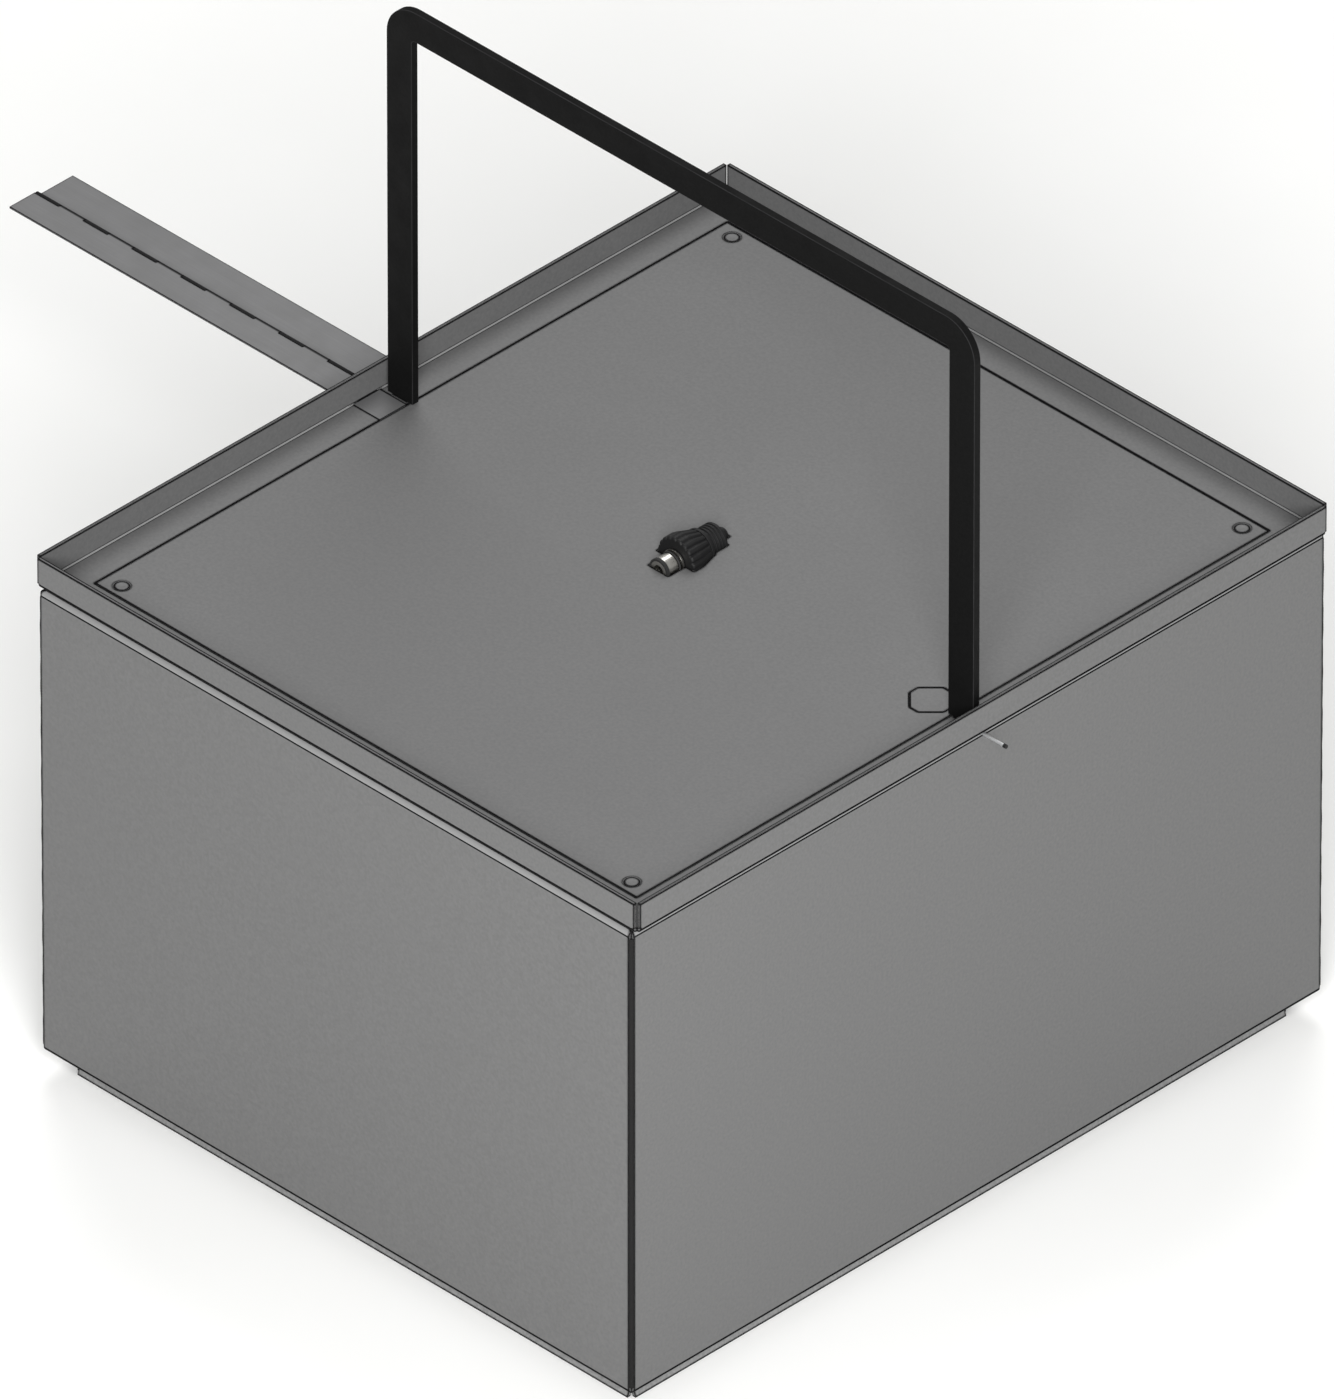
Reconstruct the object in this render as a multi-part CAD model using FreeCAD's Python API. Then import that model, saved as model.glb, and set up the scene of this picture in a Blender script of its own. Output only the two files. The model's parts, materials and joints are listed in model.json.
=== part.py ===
import FreeCAD, Part
import math
import os

from FreeCAD import Vector

# Fabricated steel hydraulic reservoir. +Z is up, and the origin is the centre of the tank's footprint
# on the floor. X runs along the lifting hoop and Y across it. All sizes are in millimetres.

# Sheet metal
sheet = 3.0
bend_inside = 1.5
bend_outside = bend_inside + sheet
corner_clearance = 0.3
mitre_gap = 1.0

# Tank
tank_length_x = 600.0
tank_width_y = 702.5
tank_height = 404.0
skirt_height = 20.0
top_flange = 70.0
bottom_flange = 60.0
weld_size = 2.4
weld_relief = 6.0

# Skirt under the tank
skirt_inset = 16.4
skirt_slope = math.radians(15.0)
skirt_flange = 25.0
skirt_corner_gap = 4.2
channel_width = 60.0
channel_end_gap = 2.0

# Drip tray on top of the tank
tray_overhang_x = 4.5
tray_setback_y = 1.25
rim_height = 26.0
cover_ledge_x = 31.25
cover_ledge_y = 30.75

# Cover, its gasket and its screws
cover_gap = 0.9
gasket_thickness = 1.0
gasket_margin = 5.0
screw_diameter = 8.0
screw_head_diameter = 14.0
screw_length = 20.0
screw_edge_x = 15.65
screw_edge_y = 10.95
screw_socket_width = 5.0
screw_socket_depth = 2.2
socket_cap_gap = 0.1
hole_clearance = 0.5
nut_width = 13.0
nut_height = 6.5
thread_gap = 0.05

# Lifting hoop, bent from flat bar, and the pins through its feet
bar_width = 25.0
bar_thickness = 6.0
hoop_rim_gap = 8.9
hoop_height = 343.0
hoop_bend_inside = 3.7
foot_width = 14.0
foot_depth = 15.0
foot_clearance = 0.4
pin_diameter = 2.5
pin_clearance = 0.3
lock_pin_stand_out = 21.5
lock_pin_inner_gap = 2.0
lock_cap_length = 2.6
lock_cap_diameter = 3.2
dowel_length = 20.0

# Piano hinge that stands out from the tray
hinge_stand_out = 348.5
leaf_thickness = 1.5
hinge_pin_diameter = 2.5
hinge_axis_y = -5.5
fixed_leaf_width = 27.0
moving_leaf_width = 36.9
knuckle_length = 25.0
knuckle_gap = 0.4
knuckle_clearance = 0.35
hinge_pin_clearance = 0.15
hinge_rim_gap = 3.5
leaf_pocket_gap = 0.2

# Breather: everything on it is turned about a line along Y that lies in the face of the cover
breather_clearance = 0.4
nose_start = -24.0
nose_end = -21.5
nose_radius = 7.4
end_ring_radius = 9.2
stub_radius = 8.75
stub_end = -12.5
groove_radius = 7.9
groove_end = -9.6
seal_thickness = 1.7
core_radius = 5.0
mouth_radius = 4.3
mouth_depth = 2.0
bore_radius = 2.7
washer_radius = 10.0
washer_start = -9.2
washer_end = -7.6
knob_start = -6.8
knob_shoulder = 2.7
knob_end = 16.0
knob_radius = 18.8
knob_end_radius = 14.6
knob_face = 3.0
knob_bore_radius = 11.0
flute_count = 20
flute_radius = 1.3
knob_core_clearance = 0.3
element_radius = 10.2
cap_end = 33.6
cap_radius = 12.6
cap_shoulder = 2.5
cap_wall = 3.0
cap_groove_depth = 0.9
cap_groove_width = 1.4
cap_groove_count = 4
tail_radius = 6.0
tail_length = 8.3
tail_taper = 3.3
tail_bore_radius = 1.6
neck_radius = 5.0
neck_bore_radius = 3.5
neck_depth = 26.0
well_sheet = 1.5
well_gap = 3.0
well_lip = 12.0
saddle_thickness = 2.0

# Plug in the probe port, with the magnet under it
probe_edge = 23.25
probe_width = 30.0
probe_corner = 6.0
probe_gap = 0.3
probe_thread = 18.0
probe_thread_length = 24.0
probe_nut_width = 27.0
probe_nut_height = 8.0
magnet_diameter = 10.0
magnet_length = 60.0

# Baffle
baffle_height = 270.0
baffle_open_end = 110.0
baffle_drain = 40.0

# Ports in the back wall: place, thread bore and boss diameter
boss_stand_out = 15.0
boss_inside = 5.0
suction_x = -150.0
suction_height = 90.0
suction_bore = 44.8
suction_boss = 62.0
suction_pipe_diameter = 48.3
suction_pipe_length = 90.0
strainer_diameter = 76.0
strainer_length = 120.0
strainer_pleats = 24
pleat_depth = 3.0
return_x = 150.0
return_depth = 84.0
return_bore = 30.3
return_boss = 46.0
return_pipe_diameter = 33.7
return_pipe_bend = 45.0
return_pipe_run = 45.0
return_pipe_end = 90.0
pipe_wall = 2.6
drain_edge = 40.0
drain_height = 52.0
drain_bore = 24.1
drain_boss = 38.0
drain_hex = 32.0
drain_hex_height = 10.0
drain_washer_thickness = 1.5
drain_washer_inset = 1.0
drain_plug_thread = 16.0

# Level gauge on the back wall
gauge_edge = 50.0
gauge_height = 230.0
gauge_centres = 127.0
gauge_width = 28.0
gauge_depth = 20.0
gauge_end = 18.0
gauge_bolt = 12.0
gauge_bolt_head = 18.0
gauge_bolt_head_height = 7.5
gauge_bolt_inside = 14.0
gauge_seal_thickness = 2.0
gauge_seal_diameter = 20.0
gauge_nut_width = 19.0
gauge_nut_height = 8.0
window_diameter = 14.0
window_end_gap = 14.0
window_slot = 11.0
glass_wall = 2.0

# Levels and places worked out from the sizes above
tank_bottom = skirt_height
tank_top = tank_bottom + tank_height
tray_face = tank_top + sheet
rim_top = tank_top + rim_height
tank_half_x = tank_length_x / 2
tank_half_y = tank_width_y / 2
tray_half_x = tank_half_x + tray_overhang_x
tray_half_y = tank_half_y - tray_setback_y
cover_half_x = tray_half_x - cover_ledge_x
cover_half_y = tray_half_y - cover_ledge_y
cover_underside = tank_top + gasket_thickness
inside_floor = tank_bottom + 2 * sheet
back_inside = tank_half_y - sheet
hoop_half_x = tray_half_x - hoop_rim_gap
hoop_top = tray_face + hoop_height
foot_centre_x = hoop_half_x - bar_width / 2
seam_level = tank_top
lock_pin_end = tray_half_x + lock_pin_stand_out
leaf_barrel_radius = hinge_pin_diameter / 2 + leaf_thickness
hinge_axis_level = tray_face - leaf_barrel_radius
hinge_near_x = -(tray_half_x + hinge_rim_gap)
hinge_far_x = -(tray_half_x + hinge_stand_out)
probe_centre_x = cover_half_x - probe_edge
return_height = tank_top - return_depth
drain_x = -tank_half_x + drain_edge
gauge_x = tank_half_x - gauge_edge

X_AXIS = Vector(1, 0, 0)
Y_AXIS = Vector(0, 1, 0)
Z_AXIS = Vector(0, 0, 1)


def in_space(along, u, v, w):
    """Point at (u, v) in the plane across the named axis, w along that axis."""
    if along == "x":
        return Vector(w, u, v)
    if along == "y":
        return Vector(u, w, v)
    return Vector(u, v, w)


def outline_edges(corners, along, level):
    """Edges of the closed outline whose corners are (u, v, radius)."""
    flat = [Vector(u, v, 0) for u, v, _ in corners]
    starts = []
    middles = []
    ends = []
    for i, (_, _, radius) in enumerate(corners):
        here = flat[i]
        back = (flat[i - 1] - here).normalize()
        ahead = (flat[(i + 1) % len(flat)] - here).normalize()
        half_angle = back.getAngle(ahead) / 2
        reach = radius / math.tan(half_angle)
        inward = (back + ahead).normalize() if radius else Vector()
        starts.append(here + back * reach)
        ends.append(here + ahead * reach)
        middles.append(here + inward * (radius / math.sin(half_angle) - radius))
    edges = []
    for i, (_, _, radius) in enumerate(corners):
        start = in_space(along, starts[i].x, starts[i].y, level)
        middle = in_space(along, middles[i].x, middles[i].y, level)
        end = in_space(along, ends[i].x, ends[i].y, level)
        before = in_space(along, ends[i - 1].x, ends[i - 1].y, level)
        if before.distanceToPoint(start) > 1e-6:
            edges.append(Part.makeLine(before, start))
        if radius:
            edges.append(Part.Arc(start, middle, end).toShape())
    return edges


def extruded(corners, along, start, end):
    """Solid with the given outline, from start to end along the named axis."""
    rounded = [corner if len(corner) == 3 else (*corner, 0) for corner in corners]
    face = Part.Face(Part.Wire(outline_edges(rounded, along, start)))
    return face.extrude(in_space(along, 0, 0, end - start))


def block(x_range, y_range, z_range):
    size = [high - low for low, high in (x_range, y_range, z_range)]
    return Part.makeBox(*size, Vector(x_range[0], y_range[0], z_range[0]))


def rod(start, direction, radius, length):
    return Part.makeCylinder(radius, length, start, direction)


def tube(start, direction, outer, inner, length):
    return rod(start, direction, outer, length).cut(rod(start, direction, inner, length))


def turned(profile, centre, direction):
    """Solid turned from (distance along the axis, radius) points, closed on the axis line."""
    side = X_AXIS if abs(direction.x) < 0.5 else Y_AXIS
    points = [centre + direction * along + side * radius for along, radius in profile]
    face = Part.Face(Part.makePolygon(points + points[:1]))
    return face.revolve(centre, direction, 360)


def hexagon(centre, direction, width, length):
    """Six-sided bar, width across flats, whose axis starts at centre."""
    across = X_AXIS if abs(direction.x) < 0.5 else Y_AXIS
    other = direction.cross(across)
    reach = width / math.sqrt(3)
    points = []
    for step in range(6):
        angle = math.radians(60 * step)
        points.append(centre + across * (reach * math.cos(angle)) + other * (reach * math.sin(angle)))
    face = Part.Face(Part.makePolygon(points + points[:1]))
    return face.extrude(direction * length)


def joined(shapes):
    whole = shapes[0]
    if len(shapes) > 1:
        whole = whole.fuse(shapes[1:])
    return whole.removeSplitter()


def without(shape, tools):
    return shape.cut(tools).removeSplitter()


def about_z(shape, degrees):
    turned_shape = shape.copy()
    turned_shape.rotate(Vector(), Z_AXIS, degrees)
    return turned_shape


def save(name, shapes):
    """Write one node. A node that groups loose pieces keeps each as its own solid."""
    solids = [solid for shape in shapes for solid in shape.Solids]
    shape = solids[0] if len(solids) == 1 else Part.makeCompound(solids)
    shape.exportStep(f"parts/{name}.step")


# Tank walls

def wall_panel(half_length, half_distance):
    """Folded wall that faces -Y, with flanges turned in at its top and bottom and mitred at its ends."""
    face = -half_distance
    inside = face + sheet
    section = [
        (face, tank_bottom, bend_outside),
        (face, tank_top, bend_outside),
        (face + top_flange, tank_top),
        (face + top_flange, tank_top - sheet),
        (inside, tank_top - sheet, bend_inside),
        (inside, tank_bottom + sheet, bend_inside),
        (face + bottom_flange, tank_bottom + sheet),
        (face + bottom_flange, tank_bottom),
    ]
    folded = extruded(section, "x", -half_length, half_length)
    mitre_start = half_length - mitre_gap
    mitre_end = mitre_start - top_flange
    plan = [
        (-half_length, face),
        (half_length, face),
        (half_length, inside),
        (mitre_start, inside),
        (mitre_end, inside + top_flange),
        (-mitre_end, inside + top_flange),
        (-mitre_start, inside),
        (-half_length, inside),
    ]
    return folded.common(extruded(plan, "z", tank_bottom, tank_top)).removeSplitter()


def slot_for_foot(side):
    """Slot through tray and tank flange for one foot of the hoop, at side -1 or +1."""
    centre = side * foot_centre_x
    half_x = foot_width / 2 + foot_clearance
    half_y = bar_thickness / 2 + foot_clearance
    low = tank_top - 2 * sheet
    high = tray_face + sheet
    return block((centre - half_x, centre + half_x), (-half_y, half_y), (low, high))


def pin_hole(side, radius):
    """Hole along the seam between tray and flange, through the foot, at side -1 or +1."""
    near = foot_centre_x - foot_width / 2 - lock_pin_inner_gap
    length = tray_half_x + sheet - near if side > 0 else dowel_length
    return rod(Vector(side * near, 0, seam_level), X_AXIS * side, radius, length)


def screw_places():
    across = cover_half_x - screw_edge_x
    along = cover_half_y - screw_edge_y
    return [Vector(x, y, 0) for x in (-across, across) for y in (-along, along)]


def back_ports():
    return [
        (suction_x, suction_height, suction_boss),
        (return_x, return_height, return_boss),
        (drain_x, drain_height, drain_boss),
    ]


def gauge_bolt_levels():
    return [gauge_height - gauge_centres / 2, gauge_height + gauge_centres / 2]


def make_walls():
    long_panel = wall_panel(tank_half_x - sheet, tank_half_y)
    short_panel = wall_panel(tank_half_y - sheet, tank_half_x)
    screw_holes = [
        rod(place + Z_AXIS * (tank_top - 2 * sheet), Z_AXIS, screw_diameter / 2 + hole_clearance, 3 * sheet)
        for place in screw_places()
    ]
    port_holes = [
        rod(Vector(x, back_inside - sheet, z), Y_AXIS, diameter / 2, 3 * sheet)
        for x, z, diameter in back_ports()
    ]
    gauge_holes = [
        rod(Vector(gauge_x, back_inside - sheet, z), Y_AXIS, gauge_bolt / 2 + hole_clearance, 3 * sheet)
        for z in gauge_bolt_levels()
    ]
    probe_hole = rod(
        Vector(probe_centre_x, 0, tank_top - 2 * sheet), Z_AXIS, probe_thread / 2 + hole_clearance, 3 * sheet
    )
    pin_radius = pin_diameter / 2 + pin_clearance
    right_cuts = [slot_for_foot(1), pin_hole(1, pin_radius), probe_hole]
    left_cuts = [slot_for_foot(-1), pin_hole(-1, pin_diameter / 2)]
    save("front_wall", [without(long_panel, screw_holes)])
    save("back_wall", [without(about_z(long_panel, 180), screw_holes + port_holes + gauge_holes)])
    save("right_wall", [without(about_z(short_panel, 90), screw_holes + right_cuts)])
    save("left_wall", [without(about_z(short_panel, -90), screw_holes + left_cuts)])


def make_corner_welds():
    """One bead in the open notch between each two walls."""
    low = tank_bottom + weld_relief
    high = tank_top - weld_relief
    beads = []
    for side_x in (-1, 1):
        for side_y in (-1, 1):
            corner_x = side_x * (tank_half_x - sheet)
            corner_y = side_y * (tank_half_y - sheet)
            bead = rod(Vector(corner_x, corner_y, low), Z_AXIS, weld_size, high - low)
            span_x = sorted((corner_x, corner_x + side_x * sheet))
            span_y = sorted((corner_y, corner_y + side_y * sheet))
            beads.append(bead.common(block(span_x, span_y, (low, high))))
    save("corner_welds", beads)


def make_bottom_plate():
    half_x = tank_half_x - sheet - bend_inside - corner_clearance
    half_y = tank_half_y - sheet - bend_inside - corner_clearance
    low = tank_bottom + sheet
    save("bottom_plate", [block((-half_x, half_x), (-half_y, half_y), (low, low + sheet))])


def skirt_strip(half_length, half_distance):
    """Angle that faces -Y: a flange under the tank and a web that leans outwards down to the floor."""
    foot = -(half_distance - skirt_inset)
    across = sheet / math.cos(skirt_slope)
    lean = skirt_height * math.tan(skirt_slope)
    flange_lean = (skirt_height - sheet) * math.tan(skirt_slope)
    section = [
        (foot, 0),
        (foot + lean, skirt_height),
        (foot + lean + skirt_flange, skirt_height),
        (foot + lean + skirt_flange, skirt_height - sheet),
        (foot + across + flange_lean, skirt_height - sheet),
        (foot + across, 0),
    ]
    strip = extruded(section, "x", -half_length, half_length)
    inner = foot + across
    far = inner + lean + skirt_flange
    cut_back = half_length - (far - inner)
    plan = [
        (-half_length, foot),
        (half_length, foot),
        (half_length, inner),
        (cut_back, far),
        (-cut_back, far),
        (-half_length, inner),
    ]
    return strip.common(extruded(plan, "z", 0, skirt_height)).removeSplitter()


def make_skirt():
    half_x = tank_half_x - skirt_inset
    half_y = tank_half_y - skirt_inset
    long_strip = skirt_strip(half_x - skirt_corner_gap, tank_half_y)
    short_strip = skirt_strip(half_y - skirt_corner_gap, tank_half_x)
    save("skirt_front", [long_strip])
    save("skirt_back", [about_z(long_strip, 180)])
    save("skirt_right", [about_z(short_strip, 90)])
    save("skirt_left", [about_z(short_strip, -90)])


def make_base_channel():
    """Channel along the middle of the tank's underside, whose web stands on the floor."""
    half = channel_width / 2
    top = tank_bottom + sheet
    section = [
        (-half, 0, bend_outside),
        (half, 0, bend_outside),
        (half, top),
        (half - sheet, top),
        (half - sheet, sheet, bend_inside),
        (-half + sheet, sheet, bend_inside),
        (-half + sheet, top),
        (-half, top),
    ]
    half_length = tank_half_y - bottom_flange - channel_end_gap
    save("base_channel", [extruded(section, "y", -half_length, half_length)])


def make_baffle():
    """Upright plate that makes the oil go round its open end from the return to the suction side."""
    front = -back_inside + baffle_open_end
    top = inside_floor + baffle_height
    corners = [
        (front, inside_floor),
        (back_inside - baffle_drain, inside_floor),
        (back_inside, inside_floor + baffle_drain),
        (back_inside, top),
        (front, top),
    ]
    save("baffle_plate", [extruded(corners, "x", -sheet / 2, sheet / 2)])


# Tray and cover

def rim_wall(half_length, half_distance):
    """Rim that faces -Y, with its bend. Its upright part runs closer to the corner than the bend does."""
    face = -half_distance
    bend_section = [
        (face, tank_top, bend_outside),
        (face, rim_top),
        (face + sheet, rim_top),
        (face + sheet, tray_face, bend_inside),
        (face + bend_outside, tray_face),
        (face + bend_outside, tank_top),
    ]
    bend_half = half_length - bend_outside
    bend = extruded(bend_section, "x", -bend_half, bend_half)
    upright_half = half_length - sheet - corner_clearance
    upright = block((-upright_half, upright_half), (face, face + sheet), (tank_top + bend_outside, rim_top))
    return [bend, upright]


def hinge_pocket():
    """Recess for the fixed leaf: through the foot of the rim and half way into the ledge."""
    low_y = hinge_axis_y - fixed_leaf_width - leaf_pocket_gap
    high_y = hinge_axis_y + leaf_pocket_gap
    levels = (tray_face - leaf_thickness, tray_face + leaf_pocket_gap)
    return block((-tray_half_x - sheet, -cover_half_x + sheet), (low_y, high_y), levels)


def make_tray():
    long_rim = rim_wall(tray_half_x, tray_half_y)
    short_rim = rim_wall(tray_half_y, tray_half_x)
    rims = []
    for degrees in (0, 180):
        rims += [about_z(shape, degrees) for shape in long_rim]
        rims += [about_z(shape, degrees + 90) for shape in short_rim]
    flat_x = tray_half_x - bend_outside
    flat_y = tray_half_y - bend_outside
    plate = block((-flat_x, flat_x), (-flat_y, flat_y), (tank_top, tray_face))
    open_x = cover_half_x + cover_gap
    open_y = cover_half_y + cover_gap
    opening = block((-open_x, open_x), (-open_y, open_y), (tank_top - sheet, tray_face + sheet))
    pin_radius = pin_diameter / 2 + pin_clearance
    cuts = [
        opening,
        hinge_pocket(),
        slot_for_foot(-1),
        slot_for_foot(1),
        pin_hole(1, pin_radius),
        pin_hole(-1, pin_diameter / 2),
    ]
    save("drip_tray", [without(joined([plate] + rims), cuts)])


def octagon(width, low, high):
    """Square set cornerwise with its corners cut off, at the probe port."""
    half_diagonal = width / math.sqrt(2)
    tip = half_diagonal - probe_corner / math.sqrt(2)
    side = half_diagonal - tip
    corners = [(tip, side), (side, tip), (-side, tip), (-tip, side)]
    corners += [(-u, -v) for u, v in corners]
    return extruded([(probe_centre_x + u, v) for u, v in corners], "z", low, high)


def breather_outline():
    """Steps of the breather as (start, end, radius at start, radius at end) along Y."""
    return [
        (nose_start, knob_start, washer_radius, washer_radius),
        (knob_start, knob_shoulder, knob_radius, knob_radius),
        (knob_shoulder, knob_end, knob_radius, knob_end_radius),
        (knob_end, knob_end + cap_shoulder + breather_clearance, knob_end_radius, knob_end_radius),
        (knob_end, cap_end, cap_radius, cap_radius),
        (cap_end, cap_end + tail_length, tail_radius, tail_radius),
    ]


def breather_window():
    """Opening in the cover that follows the breather all round."""
    steps = []
    for start, end, first, last in breather_outline():
        low = start - breather_clearance
        high = end + breather_clearance
        wide_low = first + breather_clearance
        wide_high = last + breather_clearance
        corners = [(-wide_low, low), (wide_low, low), (wide_high, high), (-wide_high, high)]
        steps.append(extruded(corners, "z", cover_underside - sheet, tray_face + sheet))
    return steps


def make_cover():
    plate = block((-cover_half_x, cover_half_x), (-cover_half_y, cover_half_y), (cover_underside, tray_face))
    sinks = []
    for place in screw_places():
        radius = screw_head_diameter / 2
        sink_depth = radius - screw_diameter / 2
        sinks.append(
            Part.makeCone(screw_diameter / 2, radius, sink_depth, place + Z_AXIS * (tray_face - sink_depth))
        )
    port = octagon(probe_width + 2 * probe_gap, cover_underside - sheet, tray_face + sheet)
    save("cover_plate", [without(plate, sinks + [port] + breather_window())])

    outer_x = cover_half_x - cover_gap
    outer_y = cover_half_y - cover_gap
    inner_x = tank_half_x - top_flange + gasket_margin
    inner_y = tank_half_y - top_flange + gasket_margin
    ring = block((-outer_x, outer_x), (-outer_y, outer_y), (tank_top, cover_underside))
    window = block((-inner_x, inner_x), (-inner_y, inner_y), (tank_top - sheet, cover_underside + sheet))
    head_at_gasket = screw_head_diameter / 2 - (tray_face - cover_underside)
    holes = [
        rod(place + Z_AXIS * (tank_top - sheet), Z_AXIS, head_at_gasket + hole_clearance, 3 * sheet)
        for place in screw_places()
    ]
    port_hole = rod(
        Vector(probe_centre_x, 0, tank_top - sheet), Z_AXIS, probe_thread / 2 + hole_clearance, 3 * sheet
    )
    save("cover_gasket", [without(ring, [window, port_hole] + holes)])


def make_cover_screws():
    screws = []
    caps = []
    nuts = []
    radius = screw_diameter / 2
    head_radius = screw_head_diameter / 2
    head_height = head_radius - radius
    nut_top = tank_top - sheet
    for place in screw_places():
        shank = rod(place + Z_AXIS * (tray_face - screw_length), Z_AXIS, radius, screw_length - head_height)
        head = Part.makeCone(radius, head_radius, head_height, place + Z_AXIS * (tray_face - head_height))
        socket = hexagon(place + Z_AXIS * tray_face, -Z_AXIS, screw_socket_width, screw_socket_depth)
        screws.append(shank.fuse(head).cut(socket))
        cap_width = screw_socket_width - 2 * socket_cap_gap
        caps.append(hexagon(place + Z_AXIS * tray_face, -Z_AXIS, cap_width, screw_socket_depth))
        nut = hexagon(place + Z_AXIS * nut_top, -Z_AXIS, nut_width, nut_height)
        bore = rod(place + Z_AXIS * nut_top, -Z_AXIS, radius + thread_gap, nut_height)
        nuts.append(nut.cut(bore))
    save("cover_screws", screws)
    save("socket_caps", caps)
    save("weld_nuts", nuts)


# Lifting hoop and its pins

def make_hoop():
    outer = hoop_half_x
    inner = outer - bar_width
    crown = hoop_top - bar_width
    bend = hoop_bend_inside + bar_width
    corners = [
        (-outer, tray_face),
        (-outer, hoop_top, bend),
        (outer, hoop_top, bend),
        (outer, tray_face),
        (inner, tray_face),
        (inner, crown, hoop_bend_inside),
        (-inner, crown, hoop_bend_inside),
        (-inner, tray_face),
    ]
    half_thickness = bar_thickness / 2
    bar = extruded(corners, "y", -half_thickness, half_thickness)
    feet = []
    for side in (-1, 1):
        span = (side * foot_centre_x - foot_width / 2, side * foot_centre_x + foot_width / 2)
        feet.append(block(span, (-half_thickness, half_thickness), (tray_face - foot_depth, tray_face)))
    holes = [pin_hole(1, pin_diameter / 2 + pin_clearance), pin_hole(-1, pin_diameter / 2)]
    save("lifting_hoop", [without(joined([bar] + feet), holes)])


def make_hoop_pins():
    near = foot_centre_x - foot_width / 2 - lock_pin_inner_gap
    radius = pin_diameter / 2
    dowel = rod(Vector(-near, 0, seam_level), -X_AXIS, radius, dowel_length)
    save("hoop_dowel", [dowel])
    start = near + pin_clearance
    shaft_end = lock_pin_end - lock_cap_length
    save("lock_pin", [rod(Vector(start, 0, seam_level), X_AXIS, radius, shaft_end - start)])
    cap = rod(Vector(shaft_end, 0, seam_level), X_AXIS, lock_cap_diameter / 2, lock_cap_length)
    save("lock_pin_cap", [cap])


# Piano hinge

def knuckle_spans():
    """(start, end, belongs to the moving leaf) for each knuckle, from the far end inwards."""
    spans = []
    start = hinge_far_x
    moving = True
    while start < hinge_near_x - knuckle_gap:
        end = min(start + knuckle_length, hinge_near_x)
        spans.append((start, end, moving))
        start = end
        moving = not moving
    return spans


def hinge_leaf(strip, moving, pin_bore_radius):
    """Flat strip with its own knuckles added and room cut for the other leaf's."""
    axis = Vector(0, hinge_axis_y, hinge_axis_level)
    own = []
    room = []
    for start, end, is_moving in knuckle_spans():
        first = axis + X_AXIS * start
        if is_moving == moving:
            length = end - start - knuckle_gap
            own.append(rod(first + X_AXIS * (knuckle_gap / 2), X_AXIS, leaf_barrel_radius, length))
        else:
            room.append(rod(first, X_AXIS, leaf_barrel_radius + knuckle_clearance, end - start))
    bore_length = hinge_near_x - hinge_far_x + 2 * sheet
    bore = rod(axis + X_AXIS * (hinge_far_x - sheet), X_AXIS, pin_bore_radius, bore_length)
    return without(joined([strip] + own), room + [bore])


def make_hinge():
    top = tray_face
    inner_end = -cover_half_x - cover_gap - leaf_pocket_gap
    fixed_strip = block(
        (hinge_far_x, inner_end),
        (hinge_axis_y - fixed_leaf_width, hinge_axis_y),
        (top - leaf_thickness, top),
    )
    bottom = hinge_axis_level - leaf_barrel_radius
    moving_strip = block(
        (hinge_far_x, hinge_near_x),
        (hinge_axis_y, hinge_axis_y + moving_leaf_width),
        (bottom, bottom + leaf_thickness),
    )
    pin_radius = hinge_pin_diameter / 2
    save("hinge_fixed_leaf", [hinge_leaf(fixed_strip, False, pin_radius)])
    save("hinge_moving_leaf", [hinge_leaf(moving_strip, True, pin_radius + hinge_pin_clearance)])
    start = Vector(hinge_far_x, hinge_axis_y, hinge_axis_level)
    save("hinge_pin", [rod(start, X_AXIS, pin_radius, hinge_near_x - hinge_far_x)])


# Breather

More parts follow.
